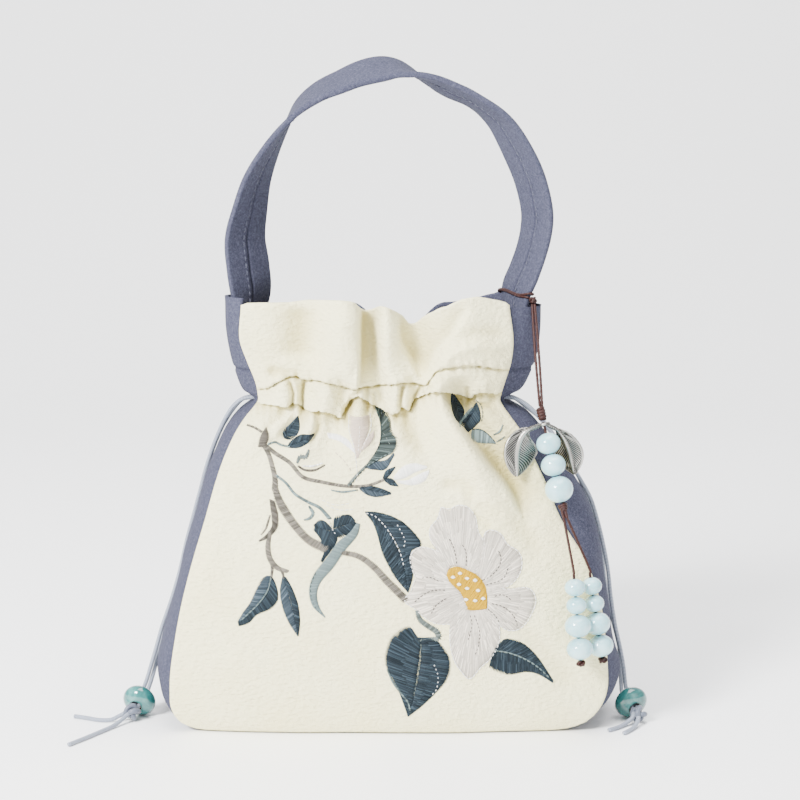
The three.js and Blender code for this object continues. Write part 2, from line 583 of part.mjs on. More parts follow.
function fromSolid(solid) {
  const mesh = solid.getMesh();
  const geometry = new THREE.BufferGeometry();
  geometry.setAttribute('position', new THREE.Float32BufferAttribute(mesh.vertProperties, 3));
  geometry.setIndex([...mesh.triVerts]);
  geometry.computeVertexNormals();
  return geometry;
}

// Both leaves and the eye that the thread passes through, cast in one
function leavesGeometry(middle, axis) {
  const eye = new THREE.TorusGeometry(LEAF_EYE.radius, LEAF_EYE.wire, 5, 10);
  eye.applyQuaternion(new THREE.Quaternion().setFromUnitVectors(new THREE.Vector3(0, 0, 1), axis));
  eye.translate(middle.x, middle.y, middle.z);
  return LEAVES.reduce((cast, leaf) => cast.add(toSolid(leafGeometry(leaf, middle))), toSolid(eye));
}

// The turns of thread round the strap, as one band that follows the strap's section a little way off
function hitchGeometry() {
  const { middle, along, width, thick } = strapFrame(HITCH.at);
  const w = STRAP_WIDTH / 2;
  const t = STRAP_THICKNESS / 2;
  const path = [
    [w - 1, t], [w, t - 1], [w, 1 - t], [w - 1, -t], [0, -t], [1 - w, -t], [-w, 1 - t], [-w, t - 1], [1 - w, t], [0, t],
  ];
  const corner = ([a, b]) => {
    const out = new THREE.Vector2(Math.abs(b) < t ? a : a * 0.01, Math.abs(a) < w ? b : b * 0.01).normalize();
    return [new THREE.Vector2(a, b), out];
  };
  const rings = path.map(corner).map(([at, out]) => {
    const across = HITCH.width / 2;
    const section = [
      [HITCH.clear, -across], [HITCH.clear + HITCH.thickness, -across],
      [HITCH.clear + HITCH.thickness, across], [HITCH.clear, across],
    ];
    return section.map(([off, up]) => middle.clone()
      .addScaledVector(width, at.x + out.x * off)
      .addScaledVector(thick, at.y + out.y * off)
      .addScaledVector(along, up));
  });
  return ringsToGeometry(rings, true);
}

// A point on the way from a to b, at a distance from a
function towards(a, b, distance) {
  return a.clone().addScaledVector(b.clone().sub(a).normalize(), distance);
}

// A run of beads on a straight thread from a to b, the first at a distance after a
function addBeads(group, name, a, b, start) {
  const direction = b.clone().sub(a);
  return CHARM_BEADS[name].reduce((at, bead, i) => {
    const mesh = piece(`${name}_bead_${i + 1}`, beadGeometry({ ...bead, bore: THREAD_BORE }, 10, 4), PALE_GLAZE);
    group.add(placeAlong(mesh, towards(a, b, at + bead.length / 2), direction));
    return at + bead.length + BEAD_GAP;
  }, start);
}

function addKnot(group, name, { across, along }, middle, direction, bands) {
  group.add(placeAlong(piece(name, knotGeometry(across, along, 8, bands), BROWN_WAX), middle, direction));
}

function addThread(group, name, points, steps) {
  group.add(piece(name, cordGeometry(points, THREAD_DIAMETER, THREAD_SIDES, steps), BROWN_WAX));
}

function addCharm(group) {
  const route = {};
  for (const [name, { across, out, up }] of Object.entries(CHARM_ROUTE)) {
    route[name] = new THREE.Vector3(across * HALF_WIDTH, -out * HALF_DEPTH, up * RIM_HEIGHT);
  }
  const clear = SEAM_GAP + 0.1;
  const { middle, along, width } = strapFrame(HITCH.at);
  const beside = STRAP_WIDTH / 2 + HITCH.clear + HITCH.thickness + SEAM_GAP + HITCH_KNOT.across / 2;
  const top = middle.clone().addScaledVector(width, beside).addScaledVector(along, HITCH.slip);
  const hang = route.knot.clone().sub(top);
  group.add(piece('charm_hitch', hitchGeometry(), BROWN_WAX));
  addKnot(group, 'charm_hitch_knot', HITCH_KNOT, top, hang, 5);
  ['left', 'right'].forEach((side) => {
    const shift = (side === 'left' ? -1 : 1) * (THREAD_DIAMETER / 2 + 0.2);
    const from = towards(top, route.knot, HITCH_KNOT.along / 2 + clear);
    const to = towards(route.knot, top, CHARM_KNOT.along / 2 + clear);
    addThread(group, `charm_drop_${side}`, [from, to].map((p) => [p.x + shift, p.y, p.z]), 1);
  });
  addKnot(group, 'charm_knot', CHARM_KNOT, route.knot, hang, 6);
  const down = route.split.clone().sub(route.knot).normalize();
  const eye = towards(route.knot, route.split, LEAF_EYE.drop);
  group.add(piece('charm_leaves', fromSolid(leavesGeometry(eye, down)), OLD_SILVER));
  const coreFrom = towards(route.knot, route.split, CHARM_KNOT.along / 2 + clear);
  const coreEnd = addBeads(group, 'charm_top', coreFrom, route.split, 5.4);
  const coreTo = towards(coreFrom, route.split, coreEnd + 0.1);
  addThread(group, 'charm_core', [coreFrom.toArray(), coreTo.toArray()], 1);
  const whipped = towards(coreFrom, route.split, coreEnd + clear + WHIPPING.length / 2);
  const cone = new THREE.CylinderGeometry(WHIPPING.top / 2, WHIPPING.bottom / 2, WHIPPING.length, 10);
  group.add(placeAlong(piece('charm_whipping', cone.rotateX(-Math.PI / 2), BROWN_WAX), whipped, down));
  ['front', 'back'].forEach((name) => {
    const above = route[name];
    const end = route[`${name}_end`];
    const aside = name === 'front' ? -0.85 : 0.85;
    const first = towards(whipped, route.split, WHIPPING.length / 2 + clear + 0.3);
    first.add(new THREE.Vector3(aside, -0.3 * aside, 0));
    const stop = addBeads(group, `charm_${name}`, above, end, 0.6);
    const points = [first, towards(above, end, -4), above, towards(above, end, stop / 2), towards(above, end, stop)];
    addThread(group, `charm_thread_${name}`, points.map((p) => p.toArray()), 12);
    const knotted = towards(above, end, stop + SEAM_GAP + 0.2 + END_KNOT.along / 2);
    addKnot(group, `charm_end_knot_${name}`, END_KNOT, knotted, end.clone().sub(above), 5);
  });
}

function addCords(group) {
  for (const [name, route] of Object.entries({ ...CORD_ROUTES, ...TAIL_ROUTES })) {
    group.add(piece(name, cordGeometry(route, CORD_DIAMETER, CORD_SIDES), CORD_GREY));
  }
  for (const { name, middle, bore } of CORD_BEADS) {
    const at = new THREE.Vector3(...middle);
    const axis = new THREE.Vector3(...bore);
    group.add(placeAlong(piece(name, beadGeometry(BIG_BEAD, 14, 5), TEAL_GLAZE), at, axis));
    const knot = piece(name.replace('bead', 'knot'), knotGeometry(CORD_KNOT.across, CORD_KNOT.along), CORD_GREY);
    const reach = BIG_BEAD.length / 2 + SEAM_GAP + CORD_KNOT.along / 2;
    group.add(placeAlong(knot, towards(at, at.clone().add(axis), reach), axis));
  }
}

const bag = new THREE.Group();
bag.add(piece('front_panel', panelGeometry(FRONT, 30), CREAM));
bag.add(piece('back_panel', panelGeometry(BACK, 16), BLUE_GREY));
bag.add(piece('gusset', gussetGeometry(6, 4), BLUE_GREY));
bag.add(piece('strap', strapGeometry(), BLUE_GREY));
addCords(bag);
const charm = new THREE.Group();
addCharm(charm);
bag.add(charm);

// The charm stands out in front, so the whole piece is set back to be centred front to back
const charmFront = new THREE.Box3().setFromObject(charm, true).min.y;
bag.position.y = -(charmFront + HALF_DEPTH) / 2;

export default bag;
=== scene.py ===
# %% [markdown]
# A small drawstring handbag: cream front, blue-grey back and sides, a flat cloth strap, cords with
# ceramic beads, a beaded charm and an embroidered flower branch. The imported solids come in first, as
# a fixed frame, and every piece below is built in the same place, in metres.

# %% Load the frame
import math

import bmesh
import bpy
import numpy as np
from mathutils import Matrix, Vector


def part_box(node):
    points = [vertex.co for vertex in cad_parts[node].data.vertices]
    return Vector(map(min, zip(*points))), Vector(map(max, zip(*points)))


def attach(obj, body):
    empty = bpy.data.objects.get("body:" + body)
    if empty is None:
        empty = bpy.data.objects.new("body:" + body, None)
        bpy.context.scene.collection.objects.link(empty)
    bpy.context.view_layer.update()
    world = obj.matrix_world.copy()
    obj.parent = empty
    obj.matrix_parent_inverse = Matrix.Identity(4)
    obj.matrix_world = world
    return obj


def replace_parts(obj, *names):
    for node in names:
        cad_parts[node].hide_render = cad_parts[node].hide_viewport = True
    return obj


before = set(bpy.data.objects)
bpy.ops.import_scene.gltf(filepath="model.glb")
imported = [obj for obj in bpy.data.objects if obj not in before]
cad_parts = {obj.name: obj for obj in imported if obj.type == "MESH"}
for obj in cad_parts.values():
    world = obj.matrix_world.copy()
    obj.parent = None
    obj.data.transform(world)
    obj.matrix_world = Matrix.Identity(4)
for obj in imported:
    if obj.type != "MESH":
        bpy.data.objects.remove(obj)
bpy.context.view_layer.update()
print("solids in the frame:", len(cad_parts))

# %% [markdown]
# Cloth is measured in millimetres, so the shapes below are worked out in millimetres about the bag's
# own middle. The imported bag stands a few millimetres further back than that, because it was centred
# together with its charm. One helper turns such points into a mesh in metres, at its final place.

# %% A helper that makes a mesh from points in millimetres
MM = 0.001
SET_BACK = 6.893


def to_frame(points):
    out = np.asarray(points, float).reshape(-1, 3).copy()
    out[:, 1] += SET_BACK
    return out * MM


def add_mesh(name, points, faces, smooth=True):
    mesh = bpy.data.meshes.new(name)
    mesh.from_pydata(to_frame(points).tolist(), [], faces)
    mesh.polygons.foreach_set("use_smooth", [smooth] * len(mesh.polygons))
    mesh.update()
    piece = bpy.data.objects.new(name, mesh)
    bpy.context.scene.collection.objects.link(piece)
    return piece


# %% [markdown]
# The camera looks a little down on the bag, as a person at a table does. Its lens is long, so the
# bag's upright edges stay nearly parallel. The flat frame through AIM is 360 mm wide.

# %% Camera
AIM = Vector((5.4, -38.0, 157.7))
ELEVATION = math.radians(10)
DISTANCE = 900
LENS = 90
SENSOR = 36
PICTURE = 800
PIXEL = DISTANCE * SENSOR / LENS / PICTURE
EYE = AIM + DISTANCE * Vector((0, -math.cos(ELEVATION), math.sin(ELEVATION)))

camera_data = bpy.data.cameras.new("camera")
camera_data.lens = LENS
camera_data.sensor_width = SENSOR
camera = bpy.data.objects.new("camera", camera_data)
bpy.context.scene.collection.objects.link(camera)
camera.location = to_frame(EYE)[0]
camera.rotation_euler = (math.pi / 2 - ELEVATION, 0, 0)
bpy.context.scene.camera = camera
print("one pixel at the aim is", round(PIXEL, 3), "mm")


def sight_line(pixel):
    """The eye's directions through pixels of the 800 by 800 picture."""
    pixel = np.asarray(pixel, float).reshape(-1, 2)
    right = (pixel[:, 0] - PICTURE / 2) * PIXEL / DISTANCE
    up = (PICTURE / 2 - pixel[:, 1]) * PIXEL / DISTANCE
    sin, cos = math.sin(ELEVATION), math.cos(ELEVATION)
    return np.stack([right, cos + up * sin, -sin + up * cos], axis=1)


# %% [markdown]
# A material here is a small graph of nodes. Written as plain Python expressions, a graph reads like
# the sum it works out, so one class wraps a socket and adds a Math node for each operator.

# %% Sockets as Python values
class Value:
    """A socket of a material's graph, on which plain arithmetic adds Math nodes."""

    def __init__(self, graph, socket):
        self.graph = graph
        self.socket = socket

    def math(self, operation, *others):
        return self.graph.node("ShaderNodeMath", {"operation": operation}, dict(enumerate([self, *others])))

    def __add__(self, other):
        return self.math("ADD", other)

    def __mul__(self, other):
        return self.math("MULTIPLY", other)

    def __sub__(self, other):
        return self.math("SUBTRACT", other)

    def __rsub__(self, other):
        return self.graph.node("ShaderNodeMath", {"operation": "SUBTRACT"}, {0: other, 1: self})

    def clamped(self):
        return self.math("MINIMUM", 1.0).math("MAXIMUM", 0.0)


def opaque(colour):
    """A colour with its alpha behind it. Anything else passes as it is."""
    return (*colour, 1) if isinstance(colour, tuple) and len(colour) == 3 else colour


class Graph:
    """A material's nodes. node() adds one, sets it up and joins its inputs."""

    def __init__(self, name, **constants):
        self.material = bpy.data.materials.new(name)
        self.material.use_nodes = True
        self.tree = self.material.node_tree
        self.shader = self.tree.nodes["Principled BSDF"]
        for socket, value in constants.items():
            self.shader.inputs[socket.replace("_", " ")].default_value = value
        coordinates = self.tree.nodes.new("ShaderNodeTexCoord")
        self.place = Value(self, coordinates.outputs["Object"])
        self.uv = Value(self, coordinates.outputs["UV"])

    def join(self, value, socket):
        if isinstance(value, Value):
            self.tree.links.new(value.socket, socket)
        else:
            socket.default_value = value

    def node(self, kind, settings=None, inputs=None, output=0):
        node = self.tree.nodes.new(kind)
        for name, value in (settings or {}).items():
            if name == "stops":
                self.set_stops(node.color_ramp, value)
            else:
                setattr(node, name, value)
        for name, value in (inputs or {}).items():
            self.join(value, node.inputs[name])
        return Value(self, node.outputs[output])

    def set_stops(self, ramp, stops):
        while len(ramp.elements) < len(stops):
            ramp.elements.new(0.5)
        for element, (position, colour) in zip(ramp.elements, stops):
            element.position = position
            element.color = opaque(colour)

    def noise(self, scale, detail=3.0, roughness=0.5, where=None):
        settings = {"Vector": where or self.place, "Scale": scale, "Detail": detail, "Roughness": roughness}
        return self.node("ShaderNodeTexNoise", None, settings)

    def ramp(self, value, *stops):
        return self.node("ShaderNodeValToRGB", {"stops": stops}, {0: value})

    def attribute(self, name, output=0):
        """A value that is stored in the mesh. Output 0 is its colour and output 2 its plain number."""
        return self.node("ShaderNodeAttribute", {"attribute_name": name}, output=output)

    def mix(self, factor, a, b):
        inputs = {0: factor, 6: opaque(a), 7: opaque(b)}
        return self.node("ShaderNodeMix", {"data_type": "RGBA"}, inputs, 2)

    def scaled(self, factors, where=None):
        """The coordinates, stretched along each axis."""
        return self.node("ShaderNodeMapping", None, {"Vector": where or self.place, "Scale": factors})

    def finish(self, height=None, strength=0.5, distance=0.0005, **links):
        for socket, value in links.items():
            self.join(value, self.shader.inputs[socket.replace("_", " ")])
        if height is not None:
            settings = {"Height": height, "Strength": strength, "Distance": distance}
            bump = self.node("ShaderNodeBump", None, settings)
            self.join(bump, self.shader.inputs["Normal"])
        return self.material


def dress(piece, material):
    """Gives a piece its finish and lets it ride with the bag."""
    piece.data.materials.clear()
    piece.data.materials.append(material)
    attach(piece, "root")
    return piece


def dress_all(material, pieces):
    """Dresses pieces that each stand for one solid, given as its name and the piece."""
    for node, piece in pieces.items():
        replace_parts(dress(piece, material), node)


# %% [markdown]
# A cord is a round tube swept along a smooth curve. The curve passes through the listed points, and
# each ring of the tube is turned as little as possible from the last one, so the braid on it doesn't
# twist. The tube's own map, round it and along it, carries the braid's pattern.

# %% Curves and tubes
FIRST_SIDE = (0.3, 0.2, 1.0)
CENTIMETRE = 10


def steps_of(line):
    """The distances from each point of a line to the next."""
    return np.linalg.norm(np.diff(line, axis=0), axis=1)


def length_of(line):
    return float(steps_of(line).sum())


def distances_along(line):
    return np.concatenate([[0], np.cumsum(steps_of(line))])


def directions_along(line):
    along = np.gradient(line, axis=0)
    return along / np.linalg.norm(along, axis=1)[:, None]


def with_ends(points):
    """The points and one more at each end, so that a curve can start and stop at the given ones."""
    points = np.asarray(points, float)
    return np.vstack([2 * points[0] - points[1], points, 2 * points[-1] - points[-2]])


def shares_between(a, b, step):
    """Shares of the way from a to b, about step apart, without the last."""
    count = max(1, round(float(np.linalg.norm(b - a)) / step))
    return (np.arange(count) / count)[:, None]


def smooth_curve(points, step):
    """Points about step apart on a Catmull-Rom curve through the given ones."""
    ends = with_ends(points)
    out = []
    for a, b, c, d in zip(ends, ends[1:], ends[2:], ends[3:]):
        t = shares_between(b, c, step)
        out.append(0.5 * (2 * b + (c - a) * t + (2 * a - 5 * b + 4 * c - d) * t**2
                          + (3 * b - a - 3 * c + d) * t**3))
    return np.vstack([*out, ends[-2:-1]])


def curve_frames(path):
    """Two sideways directions along a path, which turn as little as possible."""
    tangents = directions_along(path)
    side = np.cross(tangents[0], FIRST_SIDE)
    sides = []
    for tangent in tangents:
        side = side - tangent * side.dot(tangent)
        side /= np.linalg.norm(side)
        sides.append(side)
    sides = np.array(sides)
    return sides, np.cross(tangents, sides)


def ring_faces(rings, around):
    """Faces between rings of points that follow each other, and a flat face at each end."""
    faces = []
    for r in range(0, (rings - 1) * around, around):
        for i in range(around):
            j = (i + 1) % around
            faces.append((r + i, r + j, r + around + j, r + around + i))
    return [*faces, tuple(reversed(range(around))), tuple(range((rings - 1) * around, rings * around))]


def tube_data(path, reach, around):
    """Points and faces of a tube. reach is its radius, or one for each ring and each corner of it."""
    path = np.asarray(path, float)
    one, two = curve_frames(path)
    angles = 2 * np.pi * np.arange(around) / around
    reach = np.broadcast_to(reach, (len(path), around))
    rings = (path[:, None, :] + (reach * np.cos(angles))[:, :, None] * one[:, None, :]
             + (reach * np.sin(angles))[:, :, None] * two[:, None, :])
    return rings.reshape(-1, 3), ring_faces(len(path), around)


def joined(parts):
    """One set of points and faces from several."""
    points, faces, start = [], [], 0
    for some, sides in parts:
        points.append(some)
        faces += [tuple(i + start for i in side) for side in sides]
        start += len(some)
    return np.concatenate(points), faces


def add_map(piece, path, around):
    """Gives a tube its map: u once round it, v along it in centimetres."""
    lengths = distances_along(path) / CENTIMETRE
    layer = piece.data.uv_layers.new(name="along")
    coords = []
    for polygon in piece.data.polygons:
        index = [piece.data.loops[i].vertex_index for i in polygon.loop_indices]
        columns = [i % around for i in index]
        wraps = max(columns) - min(columns) > 1 and len(index) == 4
        for i, column in zip(index, columns):
            u = (column + (around if wraps and column == 0 else 0)) / around
            coords.extend((u, float(lengths[i // around])))
    layer.data.foreach_set("uv", coords)


# %% [markdown]
# The drawstring is a satin braid 2 mm thick. Two strands come out of the channel on each side, run
# down over the gusset, go through a bead and are knotted below it, and their cut ends lie on the
# table. Each strand is one cord from the channel to its cut end, through the bead and the knot.

# %% Drawstring cords
CORD = 2.0
CORD_SIDES = 12
LEFT_FRONT = [
    (-59.5, -5.6, 153.6), (-65.9, -6.0, 153.2), (-69.2, -6.0, 152.0), (-72.8, -5.0, 148.6),
    (-75.8, -3.4, 144.0),
    (-78.8, -0.6, 138.0), (-82.9, 4.0, 128.4), (-86.8, 9.0, 117.4), (-90.1, 13.0, 106.0),
    (-93.8, 15.4, 93.0), (-97.8, 16.6, 79.0), (-101.4, 16.6, 64.0), (-105.6, 15.6, 50.0),
    (-109.8, 12.4, 38.0), (-112.6, 8.8, 28.0), (-114.9, 5.4, 20.0), (-116.6, 1.2, 14.0),
    (-118.2, -4.6, 10.0), (-119.9, -10.45, 7.65), (-121.2, -14.8, 5.9),
    (-125.0, -19.3, 4.1), (-127.6, -19.9, 2.8), (-131.2, -20.4, 1.3), (-137.0, -19.9, 1.05),
    (-143.2, -17.0, 1.05), (-149.2, -14.6, 1.05),
]
LEFT_BACK = [
    (-59.7, -2.4, 153.2), (-66.1, -2.0, 152.8), (-69.2, -2.0, 151.2), (-72.4, -1.0, 147.6),
    (-75.6, 1.0, 142.8),
    (-79.0, 4.4, 136.8), (-83.2, 9.0, 127.0), (-87.0, 13.6, 116.0), (-90.2, 17.2, 104.0),
    (-93.3, 19.4, 92.0), (-97.2, 20.6, 78.0), (-100.8, 20.8, 63.0), (-104.8, 20.2, 49.0),
    (-108.6, 17.0, 37.0), (-111.2, 13.2, 27.4), (-113.0, 8.8, 19.6), (-114.4, 3.0, 14.0),
    (-115.7, -5.4, 10.0), (-117.6, -11.15, 7.65), (-118.9, -15.5, 5.9),
    (-123.5, -21.7, 3.8), (-125.8, -25.0, 2.4), (-129.2, -29.8, 1.2), (-134.0, -37.0, 1.05),
    (-139.4, -45.2, 1.05), (-145.6, -54.0, 1.05),
]
RIGHT_FRONT = [
    (50.6, -6.2, 153.8), (57.0, -6.5, 153.4), (60.4, -6.5, 152.4), (65.4, -6.2, 149.2), (71.0, -5.4, 143.2),
    (77.4, -3.4, 134.6), (83.8, -0.6, 124.6), (89.8, 2.6, 114.2), (95.7, 4.8, 103.6),
    (99.3, 5.4, 93.0), (102.2, 4.2, 81.6), (104.6, 2.0, 68.8), (106.2, 0.2, 55.0),
    (108.4, -0.8, 41.6), (111.2, -1.0, 29.4), (112.8, -1.6, 20.4), (113.4, -3.4, 13.8),
    (114.2, -7.0, 10.0), (116.2, -12.8, 7.65), (117.8, -17.0, 5.9),
    (117.4, -24.7, 3.7), (116.4, -27.6, 2.3), (114.6, -31.0, 1.25), (112.0, -34.8, 1.05),
    (109.2, -38.4, 1.05),
]
RIGHT_BACK = [
    (50.8, -2.8, 153.4), (57.2, -2.4, 153.0), (60.4, -2.4, 151.6), (64.8, -1.8, 148.0), (71.6, -0.2, 142.2),
    (77.9, 3.0, 133.8), (84.0, 6.8, 124.0), (89.8, 10.0, 113.8), (94.6, 12.2, 103.4),
    (98.6, 13.0, 93.0), (102.0, 13.0, 81.6), (103.2, 12.0, 68.8), (105.2, 11.0, 55.0),
    (108.2, 9.8, 41.6), (111.2, 8.0, 29.4), (112.0, 4.6, 20.4), (111.6, -1.2, 13.6),
    (111.6, -8.0, 10.0), (114.0, -13.65, 7.65), (115.6, -17.9, 5.9),
    (115.1, -23.3, 3.7), (113.0, -25.2, 2.4), (110.4, -27.4, 1.3), (106.8, -31.0, 1.05),
    (102.6, -34.4, 1.05),
]
CORDS = {
    "cord_left_front": (LEFT_FRONT, ["left_cord_front", "left_tail_short"]),
    "cord_left_back": (LEFT_BACK, ["left_cord_back", "left_tail_long"]),
    "cord_right_front": (RIGHT_FRONT, ["right_cord_front", "right_tail_near"]),
    "cord_right_back": (RIGHT_BACK, ["right_cord_back", "right_tail_far"]),
}

cord_paths = {}
cords = {}
for name, (route, _) in CORDS.items():
    path = smooth_curve(route, 1.0)
    cord_paths[name] = path
    cords[name] = add_mesh(name, *tube_data(path, CORD / 2, CORD_SIDES))
    add_map(cords[name], path, CORD_SIDES)
    print(name, "is", round(length_of(path)), "mm long")

# %% [markdown]
# The bag's cloth follows the solids: level sections up the bag, and folds that are tables of place,
# width and depth. The sections and folds here are the same shares of the same sizes as the solids
# have, so the cloth lies where they are.

# %% The bag's sections
HALF_WIDTH = 110
RIM_HEIGHT = 202
HALF_DEPTH = 42
WALL = 2.0
GUSSET_WALL = 1.7
SEAM_GAP = 0.3
CORNERS = {"left": 16, "right": 24}
CROWN = 2.6
WAIST = 0.757
CHANNEL = 0.035
COLUMNS = ("up", "left", "right", "swell_left", "swell_right", "front", "side")
SECTIONS = np.array([
    (0.0, 0.923, 0.923, 0.0, 0.0, 0.88, 0.8),
    (0.035, 0.923, 0.923, 0.045, 0.05, 0.94, 0.84),
    (0.08, 0.922, 0.924, 0.068, 0.07, 0.97, 0.855),
    (0.135, 0.919, 0.925, 0.081, 0.075, 0.99, 0.85),
    (0.2, 0.903, 0.917, 0.075, 0.05, 1.0, 0.83),
    (0.3, 0.868, 0.892, 0.052, 0.046, 0.98, 0.8),
    (0.4, 0.82, 0.83, 0.058, 0.085, 0.96, 0.77),
    (0.495, 0.767, 0.725, 0.057, 0.146, 0.91, 0.72),
    (0.585, 0.719, 0.654, 0.055, 0.122, 0.84, 0.65),
    (0.64, 0.683, 0.605, 0.053, 0.105, 0.78, 0.59),
    (0.69, 0.64, 0.56, 0.05, 0.086, 0.71, 0.52),
    (0.723, 0.6, 0.515, 0.045, 0.075, 0.64, 0.45),
    (0.757, 0.55, 0.472, 0.025, 0.025, 0.56, 0.38),
    (0.775, 0.548, 0.475, 0.065, 0.08, 0.55, 0.385),
    (0.805, 0.558, 0.49, 0.084, 0.105, 0.57, 0.41),
    (0.855, 0.588, 0.513, 0.082, 0.118, 0.6, 0.46),
    (0.921, 0.618, 0.52, 0.07, 0.127, 0.64, 0.5),
    (1.0, 0.61, 0.503, 0.086, 0.152, 0.66, 0.52),
])


def section(up, column):
    """A smooth curve through one column of the sections, at shares up of the bag's height."""
    ups = SECTIONS[:, 0]
    values = SECTIONS[:, COLUMNS.index(column)]
    rows = np.arange(len(ups))
    after, before = np.minimum(rows + 1, len(ups) - 1), np.maximum(rows - 1, 0)
    slopes = (values[after] - values[before]) / (ups[after] - ups[before])
    up = np.asarray(up, float)
    k = np.clip(np.searchsorted(ups, up) - 1, 0, len(ups) - 2)
    span = ups[k + 1] - ups[k]
    t = (up - ups[k]) / span
    return ((2 * t**3 - 3 * t**2 + 1) * values[k] + (t**3 - 2 * t**2 + t) * span * slopes[k]
            + (3 * t**2 - 2 * t**3) * values[k + 1] + (t**3 - t**2) * span * slopes[k + 1])


def bell(t):
    return np.exp(-t * t)


def ease(t):
    s = np.clip(t, 0, 1)
    return s * s * (3 - 2 * s)


def seam_at(side, up):
    """How far a seam lies from the middle."""
    radius = CORNERS[side]
    short = np.clip(radius - up * RIM_HEIGHT, 0, radius)
    return section(up, side) * HALF_WIDTH - (radius - np.sqrt(radius**2 - short**2))


# %% Folds of the front and back
FRONT_COLLAR = [
    (-0.56, -0.5, 0.2, -0.09, 0.0), (-0.24, -0.22, 0.15, 0.11, -0.002), (-0.05, -0.06, 0.075, -0.24, 0.024),
    (0.09, 0.07, 0.09, 0.07, 0.01), (0.27, 0.3, 0.13, -0.26, 0.055), (0.68, 0.66, 0.22, 0.09, -0.008),
]
BACK_COLLAR = [
    (-0.75, -0.6, 0.2, -0.08, 0.03), (-0.4, -0.35, 0.2, 0.1, 0.04), (0.02, 0.0, 0.16, -0.18, 0.05),
    (0.25, 0.25, 0.16, 0.06, 0.075), (0.62, 0.55, 0.16, 0.1, 0.02),
]
FRONT_GATHERS = [
    (-0.8, -0.6, 0.09, 0.06, 0.04, 0.14), (-0.62, -0.5, 0.08, -0.1, 0.05, 0.1),
    (-0.46, -0.4, 0.08, 0.07, 0.05, 0.14), (-0.3, -0.2, 0.07, -0.11, 0.06, 0.12),
    (-0.15, 0.0, 0.07, 0.06, 0.05, 0.12), (0.0, 0.1, 0.07, -0.11, 0.08, 0.13),
    (0.15, 0.1, 0.07, 0.05, 0.05, 0.14), (0.3, 0.3, 0.07, -0.09, 0.05, 0.18),
    (0.5, 0.75, 0.11, 0.12, 0.05, 0.36), (0.68, 0.75, 0.08, -0.09, 0.04, 0.3),
    (0.84, 0.2, 0.07, 0.04, 0.04, 0.1),
]
BACK_GATHERS = [
    (-0.75, -0.3, 0.11, 0.07, 0.06, 0.16), (-0.5, -0.2, 0.11, -0.09, 0.07, 0.18),
    (-0.25, -0.1, 0.11, 0.09, 0.07, 0.24), (0.0, 0.0, 0.11, -0.1, 0.08, 0.2),
    (0.25, 0.1, 0.11, 0.08, 0.07, 0.22), (0.5, 0.2, 0.11, -0.1, 0.07, 0.18),
    (0.75, 0.3, 0.11, 0.08, 0.06, 0.2),
]
FRONT = {"facing": -1, "collar": FRONT_COLLAR, "gathers": FRONT_GATHERS}
BACK = {"facing": 1, "collar": BACK_COLLAR, "gathers": BACK_GATHERS}


def folds_at(u, up, panel):
    to_rim = np.clip((up - WAIST) / (1 - WAIST), 0, 1)
    rise = ease((up - WAIST) / (1 - WAIST) * 1.6)
    out = 0
    for rim, waist, width, depth, _ in panel["collar"]:
        out = out + depth * bell((u - waist - (rim - waist) * to_rim) / width) * rise
    for at, lean, width, depth, above, below in panel["gathers"]:
        reach = np.where(up > WAIST, above, below)
        fade = 1 - ease((np.abs(up - WAIST) - CHANNEL) / reach)
        out = out + depth * bell((u - at - lean * (WAIST - up)) / width) * fade
    return out * (1 - u**12)


def panel_depth(u, up, panel):
    side = section(up, "side")
    crown = (section(up, "front") - side) * (1 - np.abs(u) ** CROWN)
    return HALF_DEPTH * (side + crown + folds_at(u, up, panel))


def row_to_up(u, row, panel):
    """The height of a row of the cloth. The collar's rows dip with its rim."""
    short = sum(drop * bell((u - rim) / width) for rim, _, width, _, drop in panel["collar"])
    return row - np.maximum(row - WAIST, 0) / (1 - WAIST) * short


def panel_point(u, row, panel):
    """x, depth and z of the outer face, in millimetres."""
    u, row = np.broadcast_arrays(np.asarray(u, float), np.asarray(row, float))
    up = row_to_up(u, row, panel)
    left, right = seam_at("left", up), seam_at("right", up)
    x = (right - left) / 2 + u * (left + right) / 2
    return x, panel_depth(u, up, panel), up * RIM_HEIGHT


# %% [markdown]
# A place that is seen in the photograph has to be found on the cloth. The eye's line through the pixel
# meets the front where its depth agrees with the panel's depth there, and a few rounds settle it.

# %% From a pixel to the front of the bag
FIRST_DEPTH = 32.0
SIGHT_ROUNDS = 14
SHARE_ROUNDS = 3


def front_shares(x, z):
    """u and row of the front at x and z in millimetres."""
    row = np.clip(z / RIM_HEIGHT, 0.0, 1.0)
    for _ in range(SHARE_ROUNDS):
        left, right = seam_at("left", row), seam_at("right", row)
        u = np.clip((x - (right - left) / 2) / ((left + right) / 2), -1, 1)
        row = np.clip(row + z / RIM_HEIGHT - row_to_up(u, row, FRONT), 0.0, 1.0)
    return u, row


def front_line(pixels):
    """x and z in millimetres of the places on the front that are seen at the pixels."""
    lines = sight_line(pixels)
    depth = np.full(len(lines), FIRST_DEPTH)
    for _ in range(SIGHT_ROUNDS):
        reach = (-depth - EYE.y) / lines[:, 1]
        x = EYE.x + reach * lines[:, 0]
        z = EYE.z + reach * lines[:, 2]
        u, row = front_shares(x, z)
        depth = (depth + panel_point(u, row, FRONT)[1]) / 2
    return np.stack([x, z], axis=1)


# %% [markdown]
# The front's own creases come on top of the solids' broad folds. Each crease is a line on the cloth,
# placed by the pixels that it is seen at, and it lifts or sinks the cloth beside it. A valley or a ridge
# is even on both sides of its line. A lap is a step, where one fold of cloth lies over the next.

